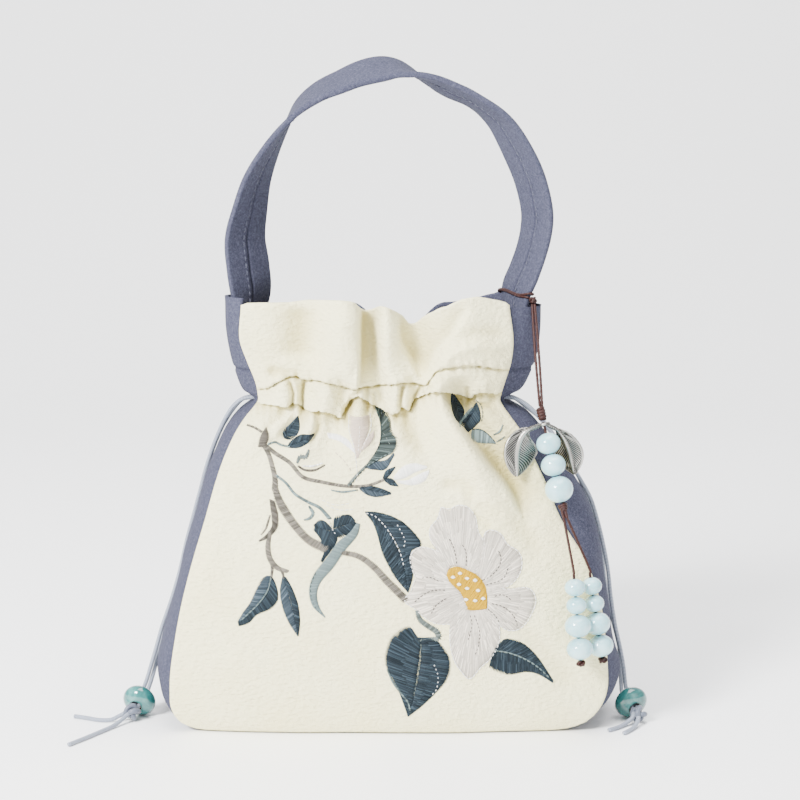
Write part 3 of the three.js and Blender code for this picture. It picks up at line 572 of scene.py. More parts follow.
# %% Creases of the front
VALLEY, LAP = "valley", "lap"
CREASES = [
    # kind, height in mm, width in mm, run in mm, the pixels that it is seen at
    # the collar, from left to right
    (VALLEY, -1.6, 7.0, 0, [(300, 306), (299, 330), (297, 356)]),
    (VALLEY, -2.2, 3.0, 0, [(268, 371), (285, 373), (302, 376)]),
    (VALLEY, 1.6, 6.0, 0, [(318, 366), (336, 371), (352, 373)]),
    (VALLEY, 1.4, 6.0, 0, [(336, 312), (335, 340), (333, 364)]),
    (LAP, 3.2, 0.5, 7.0, [(361, 303), (360, 330), (360, 360), (359, 380), (357, 392)]),
    (VALLEY, 0.9, 3.5, 0, [(386, 308), (385, 340), (382, 376)]),
    (LAP, 1.8, 0.8, 5.5, [(399, 318), (401, 341), (412, 360), (421, 378)]),
    (LAP, -1.6, 2.4, 8.0, [(468, 306), (455, 327), (441, 348), (432, 368), (431, 384)]),
    (VALLEY, 1.3, 3.0, 0, [(441, 362), (449, 352), (463, 346), (482, 344), (506, 347)]),
    (VALLEY, -0.9, 3.4, 0, [(450, 339), (464, 332), (482, 331), (505, 333)]),
    # the channel, from left to right
    (VALLEY, -2.6, 1.0, 0, [(289, 381), (293, 394), (291, 408)]),
    (VALLEY, -2.8, 1.1, 0, [(304, 380), (302, 397), (304, 414)]),
    (VALLEY, -1.2, 1.5, 0, [(312, 390), (316, 399), (321, 412)]),
    (VALLEY, 0.9, 3.0, 0, [(330, 386), (336, 398), (341, 414)]),
    (VALLEY, -1.9, 1.4, 0, [(358, 390), (350, 402), (343, 414)]),
    (VALLEY, -1.6, 1.1, 0, [(366, 388), (368, 400), (368, 414)]),
    (VALLEY, -1.1, 1.0, 0, [(373, 390), (375, 402), (377, 412)]),
    (VALLEY, -1.0, 1.0, 0, [(380, 391), (382, 402), (386, 414)]),
    (VALLEY, -2.6, 1.2, 0, [(404, 383), (401, 396), (400, 411)]),
    (VALLEY, -2.4, 1.0, 0, [(422, 386), (414, 397), (410, 412)]),
    (VALLEY, -1.6, 1.3, 0, [(433, 382), (428, 391), (416, 398)]),
    (VALLEY, -1.5, 1.2, 0, [(467, 386), (468, 394), (471, 402)]),
    # the body, from left to right
    (VALLEY, -0.9, 2.4, 0, [(286, 409), (278, 418), (266, 431)]),
    (VALLEY, 1.9, 2.9, 0, [(301, 405), (291, 415), (273, 433)]),
    (VALLEY, -1.0, 2.0, 0, [(306, 414), (296, 426), (282, 440)]),
    (VALLEY, -1.6, 1.5, 0, [(318, 411), (319, 426), (311, 443)]),
    (VALLEY, 0.8, 2.0, 0, [(310, 413), (311, 424), (306, 434)]),
    (VALLEY, 0.8, 5.0, 0, [(338, 420), (335, 434), (332, 452)]),
    (VALLEY, -1.7, 1.3, 0, [(354, 400), (348, 413), (346, 426)]),
    (VALLEY, -1.2, 1.4, 0, [(363, 396), (365, 408), (369, 424)]),
    (VALLEY, -0.9, 1.4, 0, [(377, 400), (382, 414), (388, 426)]),
    (VALLEY, -1.1, 3.2, 0, [(396, 412), (403, 427), (411, 448)]),
    (VALLEY, -1.2, 3.0, 0, [(403, 410), (415, 436), (422, 456)]),
    (LAP, 3.2, 1.0, 12.0, [(443, 396), (461, 427), (486, 461), (508, 488), (520, 512)]),
    (VALLEY, -1.6, 3.4, 0, [(443, 482), (453, 486), (465, 485), (475, 497)]),
    (VALLEY, 0.9, 3.4, 0, [(446, 496), (458, 494), (468, 504)]),
    (VALLEY, -1.0, 1.6, 0, [(474, 512), (482, 521), (492, 528)]),
    (VALLEY, -0.8, 2.0, 0, [(478, 502), (490, 510), (503, 514)]),
    (VALLEY, -1.1, 1.5, 0, [(470, 402), (477, 407), (492, 405)]),
    (VALLEY, -0.9, 6.0, 0, [(503, 610), (530, 640), (575, 690)]),
    (VALLEY, -1.0, 5.0, 0, [(487, 460), (508, 500), (540, 560)]),
    (VALLEY, 0.6, 6.0, 0, [(225, 470), (215, 520), (200, 600)]),
]


def beside(x, z, line):
    """Each point's distance from a line of points, which side it is on, and its share along the line."""
    best = np.full(x.shape, 1e9)
    side = np.ones(x.shape)
    share = np.zeros(x.shape)
    lengths = steps_of(line)
    start = 0.0
    for a, b, length in zip(line, line[1:], lengths):
        along = (b - a) / length
        dx, dz = x - a[0], z - a[1]
        t = dx * along[0] + dz * along[1]
        inside = np.clip(t, 0, length)
        distance = np.hypot(dx - inside * along[0], dz - inside * along[1])
        near = distance < best
        best = np.where(near, distance, best)
        side = np.where(near, np.sign(dz * along[0] - dx * along[1] + 1e-9), side)
        share = np.where(near, (start + t) / lengths.sum(), share)
        start += length
    return best, side, share


CREASE_STRENGTH = 1.75
FADE = 0.3
FADE_AHEAD = 0.12

crease_lines = [(kind, height, width, run, smooth_curve(front_line(line), 3.0))
                for kind, height, width, run, line in CREASES]


def creases_at(x, z):
    out = np.zeros(x.shape)
    for kind, height, width, run, line in crease_lines:
        distance, side, share = beside(x, z, line)
        fade = ease((share + FADE_AHEAD) / FADE) * ease((1 + FADE_AHEAD - share) / FADE)
        if kind == LAP:
            out += height * -side * np.tanh(distance / width) * np.exp(-distance / run) * fade
        else:
            out += height * bell(distance / width) * fade
    return CREASE_STRENGTH * out


print("creases on the front:", len(crease_lines))

# %% [markdown]
# The drawstring runs in a channel: a band of the cloth between two rows of stitches. The gathers puff
# it out, and its lower edge hangs over the body's gathers with a shadow under it.

# %% The front's drawstring channel
SEAM_LINE = [
    (255, 390), (262, 389), (268, 388), (275, 384), (285, 379), (295, 377), (304, 380), (316, 380),
    (325, 382),
    (335, 384), (345, 386), (353, 389), (363, 388), (375, 386), (392, 385), (402, 383), (416, 383),
    (424, 386),
    (430, 380), (434, 373), (440, 368), (452, 366), (470, 365), (481, 366), (493, 368), (508, 370),
]
GATHER_LINE = [
    (255, 402), (262, 404), (272, 405), (286, 407), (291, 405), (297, 403), (303, 409), (311, 411),
    (321, 412),
    (332, 413), (340, 418), (345, 409), (351, 401), (358, 397), (364, 400), (372, 405), (385, 412),
    (397, 414),
    (402, 408), (409, 411), (414, 401), (421, 397), (434, 392), (446, 393), (456, 395), (466, 398),
    (471, 400),
    (475, 395), (483, 393), (497, 394), (508, 388),
]
# heights of the channel's parts over the plain cloth, in mm
PUFF = 1.9
HANG = 1.5
UNDER = -3.0
GROOVE = -1.9
OVER = 3.0
PUCKER = 0.6
CHANNEL_FROM = 95
CHANNEL_BLEND = 20


def height_over(line):
    """A function of x that gives the height of a line on the front."""
    line = smooth_curve(front_line(line), 1.0)
    line = line[np.argsort(line[:, 0])]
    return lambda x: np.interp(x, line[:, 0], line[:, 1])


seam_height, gather_height = height_over(SEAM_LINE), height_over(GATHER_LINE)


def channel_at(x, z):
    top, bottom = seam_height(x), gather_height(x)
    t = (z - bottom) / (top - bottom)
    puff = PUFF * np.sin(np.pi * np.clip(t, 0, 1)) ** 0.6
    hang = HANG * (t > 0) * (1 - ease(t / 0.6))
    under = UNDER * (t <= 0) * np.exp(-np.maximum(bottom - z, 0) / 3.6)
    groove = GROOVE * bell((z - top) / 0.6)
    over = OVER * (t >= 1) * (1 - ease((z - top) / 14))
    wander = x * 1.55 + 1.6 * np.sin(x * 0.33) + 0.2 * z
    pucker = PUCKER * np.sin(wander) * (bell((z - top) / 3.2) + bell((z - bottom + 2) / 4.5))
    return puff + hang + under + groove + over + pucker


def channel_share(z):
    """The channel counts only in the upper half of the bag."""
    return ease((z - CHANNEL_FROM) / CHANNEL_BLEND)


def soft_waves(x, z):
    """Broad unevenness of padded cloth that stands by itself."""
    return (0.35 * np.sin(x / 13 + 1.3 * np.sin(z / 21)) * np.sin(z / 17 + 0.8)
            + 0.22 * np.sin(x / 7.3 + z / 11 + 0.6) * np.sin(z / 9.1 - x / 23))


SEAM_TURN = 1.3
SEAM_REACH = 1.8
SEAM_CALM = 14


def finished_depth(u, row, panel, extra):
    """The depth of a panel with its finish. Its seams turn in, so nothing is added there."""
    calm = 1 - np.abs(u) ** SEAM_CALM
    half = (seam_at("left", row) + seam_at("right", row)) / 2
    edge = np.clip(1 - (1 - np.abs(u)) * half / SEAM_REACH, 0, 1)
    turned = SEAM_TURN * (1 - np.sqrt(1 - edge**2))
    return panel_point(u, row, panel)[1] + extra * calm - turned


def front_depth(x, z, u, row):
    extra = creases_at(x, z) + channel_at(x, z) * channel_share(z) + soft_waves(x, z)
    return finished_depth(u, row, FRONT, extra)


def depth_seen(x, z):
    u, row = front_shares(x, z)
    return front_depth(x, z, u, row)


SHADE_SINK = 0.6
SHADE_FROM = 0.5
SHADE_FULL = 5.0
SEAM_SHADE = 0.55
SEAM_SHADE_WIDTH = 0.45


def painted_shade_at(x, z):
    """Painted shade: how deep a place lies in a crease, 0 to 1. The cloth's colour darkens with it."""
    sunk = creases_at(x, z) + (channel_at(x, z) - SHADE_SINK) * channel_share(z)
    seam = SEAM_SHADE * bell((z - seam_height(x)) / SEAM_SHADE_WIDTH)
    return np.clip(np.clip(-(sunk + SHADE_FROM) / SHADE_FULL, 0, 1) + seam, 0, 1)


# %% [markdown]
# The rim isn't level. These are the millimetres by which each panel's rim lies lower, from its left end
# to its right end, and the rows below it follow less and less.

# %% Uneven rims
HEM_RISE = 0.9
HEM_HEIGHT = 0.03
RIM_FROM = 0.8
RIM_BLEND = 0.2
RIM_PLACES = (-1, -0.95, -0.86, -0.64, -0.5, -0.27, -0.15, -0.09, -0.05, 0.06, 0.2, 0.24, 0.34, 0.43, 0.53,
              0.64,
              0.76, 0.92, 0.97, 1)
FRONT_RIM = (4.6, 3.4, 3.1, 3.0, 1.8, 1.4, 1.8, 3.4, 2.2, 1.0, 1.0, 2.8, 2.4, 5.0, 5.0, 2.4, 1.2, 2.6, 3.4,
             4.8)
BACK_RIM = (1.0, 2.4, 3.6, 4.2, 4.6, 4.6, 4.6, 4.6, 5.0, 5.6, 6.2, 6.4, 6.8, 7.0, 5.6, 4.6, 5.4, 4.0, 2.6,
            1.0)


# %% [markdown]
# A panel is one closed sheet. Its outer face runs up to the rim, turns over it in a small round fold
# and comes down again as the inner face, a wall's thickness behind.

# %% Panels
def spread_out(count, edge_rows):
    """Shares from -1 to 1, with a few extra ones close to both ends."""
    middle = np.linspace(-1, 1, count)[1:-1]
    near = 1 - np.array(edge_rows)
    return np.concatenate([-1 * np.concatenate([[1], near]), middle[np.abs(middle) < near.min()],
                           near[::-1], [1]])


CORNER_ROWS = [0, 0.004, 0.012, 0.024, 0.04, 0.055]
BODY_FROM = 0.066
FINE_FROM = 0.64
COLLAR_FROM = 0.84
COLLAR_TO = 0.999


def panel_rows(low_step, channel_step, collar_step):
    """Heights of the rows in shares, closest together at the channel and in the bottom corners."""
    body = np.arange(BODY_FROM, FINE_FROM, low_step / RIM_HEIGHT)
    channel = np.arange(FINE_FROM, COLLAR_FROM, channel_step / RIM_HEIGHT)
    collar = np.arange(COLLAR_FROM, COLLAR_TO, collar_step / RIM_HEIGHT)
    return np.concatenate([CORNER_ROWS, body, channel, collar, [1.0]])


RIM_STEPS = 4


def cells(rows, columns):
    """The first corner of each of a grid's cells, in its own row and in the next one."""
    return [(r * columns + c, (r + 1) * columns + c) for r in range(rows - 1) for c in range(columns - 1)]


def closed_sheet(outer, inner, facing):
    """Joins an outer and an inner grid (rows, columns, 3) over the rim and down the sides."""
    middle = (outer[-1] + inner[-1]) / 2
    half = (outer[-1] - inner[-1]) / 2
    thick = np.linalg.norm(half, axis=1)
    rim = []
    for k in range(1, RIM_STEPS):
        angle = math.pi * k / RIM_STEPS
        ring = middle + half * math.cos(angle)
        ring[:, 2] += thick * math.sin(angle)
        rim.append(ring)
    grid = np.concatenate([outer, np.array(rim), inner[::-1]])
    rows, columns = grid.shape[:2]
    faces = [(a, a + 1, b + 1, b) for a, b in cells(rows, columns)]
    for c in range(columns - 1):
        a, b = c, (rows - 1) * columns + c
        faces.append((a + 1, a, b, b + 1))
    for r in range(rows // 2):
        other = rows - 1 - r
        for column, turn in ((0, 1), (columns - 1, -1)):
            quad = [r * columns + column, (r + 1) * columns + column,
                    (other - 1) * columns + column, other * columns + column]
            quad = list(dict.fromkeys(quad))
            if len(quad) > 2:
                faces.append(tuple(quad[::turn]))
    if facing > 0:
        faces = [tuple(reversed(face)) for face in faces]
    return grid.reshape(-1, 3), faces


def panel_grids(u, rows, panel, depth):
    """The outer and inner faces' points, in rows from the bottom to the rim."""
    shares, heights = np.meshgrid(u, rows)
    x, _, z = panel_point(shares, heights, panel)
    y = depth(x, z, shares, heights)
    rim = FRONT_RIM if panel is FRONT else BACK_RIM
    z = z - np.interp(shares, RIM_PLACES, rim) * ease((heights - RIM_FROM) / RIM_BLEND)
    z = z + HEM_RISE * (1 - ease(heights / HEM_HEIGHT))
    outer = np.stack([x, panel["facing"] * y, z], axis=-1)
    inner = outer.copy()
    inner[:, :, 1] -= panel["facing"] * WALL
    return outer, inner


def back_depth(x, z, u, row):
    channel = WAIST * RIM_HEIGHT
    away = np.abs(z - channel)
    pleats = 0.9 * np.sin(u * 52 + 2 * np.sin(u * 9)) * bell(np.maximum(away - 5, 0) / 6)
    grooves = -1.1 * (bell((z - channel - 6) / 0.8) + bell((z - channel + 6) / 1.0))
    puff = 1.4 * np.sqrt(np.clip(1 - (away / 6) ** 2, 0, 1))
    extra = pleats + grooves + puff + soft_waves(x + 31, z + 12)
    return finished_depth(u, row, BACK, extra)


EDGE_SHARES = (0.0006, 0.0025, 0.006, 0.011, 0.018)
FRONT_COLUMNS = 196
BACK_COLUMNS = 120

front_grids = panel_grids(spread_out(FRONT_COLUMNS, EDGE_SHARES), panel_rows(1.5, 0.55, 0.8),
                          FRONT, front_depth)
front = add_mesh("front_cloth", *closed_sheet(*front_grids, FRONT["facing"]))


def mark_painted_shade(piece, values):
    """Stores the painted shade of the first points of a piece. The other points have none."""
    layer = piece.data.attributes.new("hollow", "FLOAT", "POINT")
    all_values = np.zeros(len(piece.data.vertices), np.float32)
    all_values[:values.size] = values.ravel()
    layer.data.foreach_set("value", all_values)


# Painted shade on the front: its colour darkens in the creases, under the channel and along its seam.
mark_painted_shade(front, painted_shade_at(front_grids[0][:, :, 0], front_grids[0][:, :, 2]))
back_grids = panel_grids(spread_out(BACK_COLUMNS, EDGE_SHARES), panel_rows(2.2, 0.8, 1.4), BACK, back_depth)
back = add_mesh("back_cloth", *closed_sheet(*back_grids, BACK["facing"]))
print("faces of the front and back:", len(front.data.polygons), len(back.data.polygons))

# %% [markdown]
# The gusset is one strip that runs down one side, along the bottom and up the other. Its two long edges
# follow the panels' seams, and it swells between them. The collar's part has its own seam and a tuck.

# %% Gusset
TUCK = {"at": 0.3, "width": 0.38, "depth": 0.05, "drop_left": 0.002, "drop_right": 0.026}
COLLAR_SEAM = 0.83
LOWERED_ROWS = 12
LOWERED_STEP = 0.05
GUSSET_COLUMNS = 36
GUSSET_BOTTOM = 40


def gusset_swell(side, row, w):
    swell = section(row, "swell_" + side)
    tuck = TUCK["depth"] * ease((row - WAIST) / (1 - WAIST) * 1.6) * bell((w - TUCK["at"]) / TUCK["width"])
    groove = -0.007 * bell((row - COLLAR_SEAM) * RIM_HEIGHT / 0.9)
    pinch = -0.012 * bell((row - WAIST) * RIM_HEIGHT / 2.2) * (0.6 + 0.4 * np.sin(w * 14))
    pleats = 0.004 * np.sin(w * 17 + 1) * bell((row - WAIST) * RIM_HEIGHT / 9)
    waves = 0.003 * np.sin(row * 31 + w * 2.4) * np.sin(w * 3 + row * 9)
    rounded = swell * (1 - np.abs(w) ** 3)
    fine = (groove + pinch + pleats + waves) * (1 - w**10)
    return HALF_WIDTH * (rounded - tuck * (1 - w**8) + fine)


def gusset_places(rows, bottom_count):
    """Down the left side, along the bottom and up the right one: side, u and row of each place."""
    places = [("left", -1.0, row) for row in rows[::-1]]
    places += [("", u, 0.0) for u in np.linspace(-1, 1, bottom_count + 1)[1:-1]]
    places += [("right", 1.0, row) for row in rows]
    return places


def gusset_edges(places):
    edges = []
    for panel in (FRONT, BACK):
        x, y, z = panel_point(np.array([p[1] for p in places]), np.array([p[2] for p in places]), panel)
        edges.append(np.stack([x, panel["facing"] * (y - WALL - SEAM_GAP), z], axis=1))
    return edges


def lower_rim(edges):
    """The gusset's own rim lies a little below the panels'."""
    for end, step, drop in ((0, 1, TUCK["drop_left"]), (-1, -1, TUCK["drop_right"])):
        for edge in edges:
            limit = edge[end, 2] - drop * RIM_HEIGHT
            for k in range(LOWERED_ROWS):
                place = end + step * k
                edge[place, 2] = min(edge[place, 2], limit - LOWERED_STEP * k)
    return edges


def gusset_sheet(across, rows, bottom_count):
    places = gusset_places(rows, bottom_count)
    front_edge, back_edge = lower_rim(gusset_edges(places))
    along = np.gradient(front_edge, axis=0)
    along /= np.hypot(along[:, 0], along[:, 2])[:, None]
    ws = np.sin(np.linspace(-math.pi / 2, math.pi / 2, across + 1))
    outer = []
    for k, (side, _, row) in enumerate(places):
        line = front_edge[k] + (back_edge[k] - front_edge[k]) * ((ws + 1) / 2)[:, None]
        if side:
            line[:, 0] += (-1 if side == "left" else 1) * gusset_swell(side, row, ws)
        outer.append(line)
    outer = np.array(outer)
    inner = outer.copy()
    inner[:, :, 0] -= (along[:, 2] * GUSSET_WALL)[:, None]
    inner[:, :, 2] += (along[:, 0] * GUSSET_WALL)[:, None]
    return outer, inner


def strip_faces(rows, columns):
    """Faces of a closed strip: outer rings, then inner ones, with walls along the sides and ends."""
    inner = rows * columns
    faces = []
    for a, b in cells(rows, columns):
        faces.append((a, b, b + 1, a + 1))
        faces.append((inner + a, inner + a + 1, inner + b + 1, inner + b))
    for r in range(rows - 1):
        for c, turn in ((0, 1), (columns - 1, -1)):
            a, b = r * columns + c, (r + 1) * columns + c
            faces.append((a, inner + a, inner + b, b)[::turn])
    for c in range(columns - 1):
        for r, turn in ((0, -1), (rows - 1, 1)):
            a = r * columns + c
            faces.append((a, inner + a, inner + a + 1, a + 1)[::turn])
    return faces


gusset_rows = panel_rows(2.0, 0.9, 1.4)
outer, inner = gusset_sheet(GUSSET_COLUMNS, gusset_rows, GUSSET_BOTTOM)
gusset = add_mesh("gusset_cloth", np.concatenate([outer.reshape(-1, 3), inner.reshape(-1, 3)]),
                  strip_faces(*outer.shape[:2]))
# Painted shade on the gusset: its colour darkens along the collar's seam.
mark_painted_shade(gusset, np.where(outer[:, :, 2] > 0.7 * RIM_HEIGHT,
                              bell((outer[:, :, 2] - COLLAR_SEAM * RIM_HEIGHT) / 0.5), 0))
print("faces of the gusset:", len(gusset.data.polygons))

# %% [markdown]
# The strap is a band of cloth folded into three and sewn along its middle, which shows as a seam on the
# face that looks into the loop. It is swept along its middle line and turned about it as it twists.

# %% Strap
STRAP_WIDTH = 25
STRAP_THICKNESS = 3
STRAP_SEWN = 24
STRAP_RISE = 126.5
STRAP_SPREAD = 0.9
STRAP_STEP = 1.2
STRAP_ROUND = 1.2
STRAP_PAD = 0.25
STRAP_SEAM_HALF = 0.3
STRAP_SEAM_DEPTH = 0.5
RIPPLE = 0.16
RIPPLE_PITCH = 2.6
RIPPLE_WIDTH = 5
STRAP_LINE = [
    (-0.975, 0.0, 2), (-0.96, 0.09, 22), (-0.94, 0.18, 43), (-0.956, 0.28, 47), (-0.974, 0.385, 42),
    (-0.94, 0.49, 33), (-0.888, 0.6, 24), (-0.79, 0.712, 12), (-0.675, 0.81, 0), (-0.59, 0.868, -12),
    (-0.459, 0.92, -17), (-0.324, 0.952, -20), (-0.188, 0.982, -23), (-0.054, 0.998, -25),
    (0.055, 0.999, -19),
    (0.147, 0.986, -2), (0.28, 0.959, 9), (0.415, 0.925, 17), (0.55, 0.893, 11), (0.672, 0.849, 15),
    (0.765, 0.799, 22), (0.876, 0.7, 28), (0.959, 0.6, 29), (1.01, 0.48, 29), (1.003, 0.41, 28),
    (0.975, 0.343, 26), (0.925, 0.263, 27), (0.872, 0.19, 27), (0.875, 0.1, 16), (0.89, 0.0, 2),
]


def centripetal(points, step):
    """A curve through the points whose speed follows their spacing, as the solids' strap has."""
    ends = with_ends(points)
    out, places = [], []
    for k, (a, b, c, d) in enumerate(zip(ends, ends[1:], ends[2:], ends[3:])):
        first, second, third = [np.linalg.norm(q - p) ** 0.5 for p, q in ((a, b), (b, c), (c, d))]
        one = ((b - a) / first - (c - a) / (first + second) + (c - b) / second) * second
        two = ((c - b) / second - (d - b) / (second + third) + (d - c) / third) * second
        t = shares_between(b, c, step)
        out.append(b + one * t + (3 * (c - b) - 2 * one - two) * t**2 + (2 * (b - c) + one + two) * t**3)
        places.extend(k + t[:, 0])
    return np.vstack([*out, ends[-2:-1]]), np.array([*places, len(points) - 1])


def strap_line():
    span = float(seam_at("left", np.array(1.0))) + STRAP_SPREAD
    foot = RIM_HEIGHT - STRAP_SEWN
    points = [(across * span, 0, foot + up * STRAP_RISE) for across, up, _ in STRAP_LINE]
    path, places = centripetal(points, STRAP_STEP)
    turns = np.interp(places, np.arange(len(STRAP_LINE)), [turn for _, _, turn in STRAP_LINE])
    smooth = np.convolve(np.pad(turns, 6, mode="edge"), np.ones(13) / 13, mode="valid")
    along = directions_along(path)
    outward = np.stack([-along[:, 2], np.zeros(len(path)), along[:, 0]], axis=1)
    near = np.array([0.0, -1.0, 0.0])
    cos, sin = np.cos(np.radians(smooth))[:, None], np.sin(np.radians(smooth))[:, None]
    return path, along, near * cos + outward * sin, outward * cos - near * sin


def strap_section():
    """Half widths and half thicknesses round the band. The seam is a groove in the inner face."""
    half, thick = STRAP_WIDTH / 2, STRAP_THICKNESS / 2
    flat = half - STRAP_ROUND
    inner_face = []
    for across in [*np.linspace(-flat, -1.4, 7), -0.7, -0.25, 0, 0.25, 0.7, *np.linspace(1.4, flat, 7)]:
        padded = STRAP_PAD * (1 - (abs(across) / half) ** 2)
        pad = padded if abs(across) > STRAP_SEAM_HALF else -STRAP_SEAM_DEPTH
        inner_face.append((across, -thick + STRAP_PAD - pad))
    turn = np.radians([30, 60, 90, 120, 150])
    right = [(flat + STRAP_ROUND * math.sin(a), -thick * math.cos(a)) for a in turn]
    outer_face = [(across, thick) for across in np.linspace(flat, -flat, 15)]
    left = [(-flat - STRAP_ROUND * math.sin(a), thick * math.cos(a)) for a in turn]
    return np.array(inner_face + right + outer_face + left)


strap_path, strap_along, strap_width, strap_thick = strap_line()
band = strap_section()
waves = np.sin(np.arange(len(strap_path)) * STRAP_STEP / RIPPLE_PITCH)
ripple = RIPPLE * waves[:, None] * bell(band[:, 0] / RIPPLE_WIDTH)[None, :]
rings = (strap_path[:, None] + band[None, :, :1] * strap_width[:, None]
         + (band[None, :, 1:] + ripple[:, :, None]) * strap_thick[:, None])
faces = [face[:1] + face[:0:-1] for face in ring_faces(len(rings), len(band))]
strap = add_mesh("strap_cloth", rings.reshape(-1, 3), faces)
# Painted shade on the strap: its colour darkens along the seam's groove on the inner face.
at_seam = np.abs(band[:, 0]) * (band[:, 1] < 0) + 9 * (band[:, 1] >= 0)
mark_painted_shade(strap, np.tile(bell(at_seam / 0.35), (len(rings), 1)))

# %% Stitches beside the strap's seam
STITCH = {"long": 2.1, "gap": 1.2, "thick": 0.28, "aside": 2.3, "clear": 6.0}
stitches = []
start = STITCH["clear"]
lengths = distances_along(strap_path)
while start + STITCH["long"] < lengths[-1] - STITCH["clear"]:
    shares = start + np.linspace(0, 1, 5) * STITCH["long"]
    middle, wide, thick = (np.stack([np.interp(shares, lengths, v[:, k]) for k in range(3)], axis=1)
                           for v in (strap_path, strap_width, strap_thick))
    stand = STRAP_THICKNESS / 2 + np.array([-0.1, 0.12, 0.16, 0.12, -0.1])
    line = middle + wide * STITCH["aside"] - thick * stand[:, None]
    swell = np.array([0.6, 1, 1, 1, 0.6]) * STITCH["thick"]
    stitches.append(tube_data(line, swell[:, None], 6))
    start += STITCH["long"] + STITCH["gap"]
strap_stitches = add_mesh("strap_stitches", *joined(stitches))
print("stitches on the strap:", len(stitches))
print("the strap is", round(length_of(strap_path)), "mm long")

# %% [markdown]
# The flower branch on the front is satin stitch: short lengths of glossy thread laid side by side. A
# leaf is two fields of stitches that run from its rib to its edges, and a petal is rows of long and short
# stitches that fan out from the flower's heart. The outlines are placed by the pixels they are seen
# at, and each stitch is a small three-sided bar whose ends go down into the cloth.

# %% Stitches
def resample(line, shares):
    """Points at shares of a line's length."""
    lengths = distances_along(line)
    at = np.clip(shares, 0, 1) * lengths[-1]
    return np.stack([np.interp(at, lengths, line[:, k]) for k in range(2)], axis=1)


def cloth_curve(pixels):
    return smooth_curve(front_line(pixels), 0.6)


stitch_random = np.random.default_rng(11)
FILL_OVERLAP = 1.35
LIT_SHARE = 0.22
LIT_GAIN = 2.2
RAGGED = 0.3
UNEVEN = 0.12
PAST_EDGE = 0.3
STRIPE_PITCH = 0.72
STRIPE_OVERLAP = 1.3
STRIPE_VARY = 0.5
CREST = np.array([0.0, 0.85, 1.0, 0.85, 0.0])
BAR_RISE = 0.6
BAR_SUNK = 0.55
END_DIP = 0.16
TINY = 1e-6


def fill_between(one, other, tint, pitch=0.5, lead=0.0, rows=1, lift=0.35, vary=0.16):
    """Stitches from one edge to the other. lead slants them, and rows breaks them into shorter ones."""
    a, b = cloth_curve(one), cloth_curve(other)
    count = max(3, round(max(length_of(a), length_of(b)) / pitch))
    t = (np.arange(count) + 0.5) / count
    starts, ends = resample(a, t), resample(b, t + lead * (1 - t) * np.minimum(1, 4 * t + 0.3))
    out = []
    for k in range(rows):
        low, high = np.zeros(count), np.ones(count)
        if k > 0:
            low = (k - 0.5 + stitch_random.uniform(-RAGGED, RAGGED, count)) / rows
        if k < rows - 1:
            high = (k + 1.12 + stitch_random.uniform(-RAGGED, RAGGED, count)) / rows
        p = starts + (ends - starts) * low[:, None]
        q = starts + (ends - starts) * high[:, None]
        shade = stitch_random.uniform(1 - vary, 1 + vary, count)
        shade = shade * np.where(stitch_random.random(count) < LIT_SHARE, 1 + LIT_GAIN * vary, 1)
        heights = lift + stitch_random.uniform(-UNEVEN, UNEVEN, count)
        width = np.full(count, pitch * FILL_OVERLAP)
        over = (q - p) / np.maximum(np.linalg.norm(q - p, axis=1), TINY)[:, None] * PAST_EDGE
        out.append(np.column_stack([p - over, q + over, width, heights, shade[:, None] * np.array(tint)]))
    return np.vstack(out)


def stripe(pixels, widths, tint, slant=0.7, lift=0.4):
    """A tapering stem: stitches laid across a line. widths are in mm from its start to its end."""
    line = cloth_curve(pixels)
    count = max(4, round(length_of(line) / STRIPE_PITCH))
    t = (np.arange(count) + 0.5) / count
    middle = resample(line, t)
    along = resample(line, t + 0.01) - resample(line, t - 0.01)
    along /= np.linalg.norm(along, axis=1)[:, None]
    across = np.stack([-along[:, 1], along[:, 0]], axis=1)
    half = np.interp(t, np.linspace(0, 1, len(widths)), widths)[:, None] / 2
    shade = stitch_random.uniform(1 - STRIPE_VARY, 1 + STRIPE_VARY, count)[:, None] * np.array(tint)
    p = middle - across * half - along * half * slant
    q = middle + across * half + along * half * slant
    width = np.full(count, STRIPE_PITCH * STRIPE_OVERLAP)
    return np.column_stack([p, q, width, np.full(count, lift), shade])


def running(pixels, stitch=2.2, gap=0.9, width=0.42, lift=0.5, tint=(0.75, 0.77, 0.78)):
    """A line of running stitches, or a drawn line where the gap is small. The sizes are in mm."""
    line = cloth_curve(pixels)
    whole = length_of(line)
    count = max(1, int(whole / (stitch + gap)))
    start = np.arange(count) * (stitch + gap) / whole
    p, q = resample(line, start), resample(line, start + stitch / whole)
    looks = np.tile([width, lift, *tint], (count, 1))
    return np.column_stack([p, q, looks])


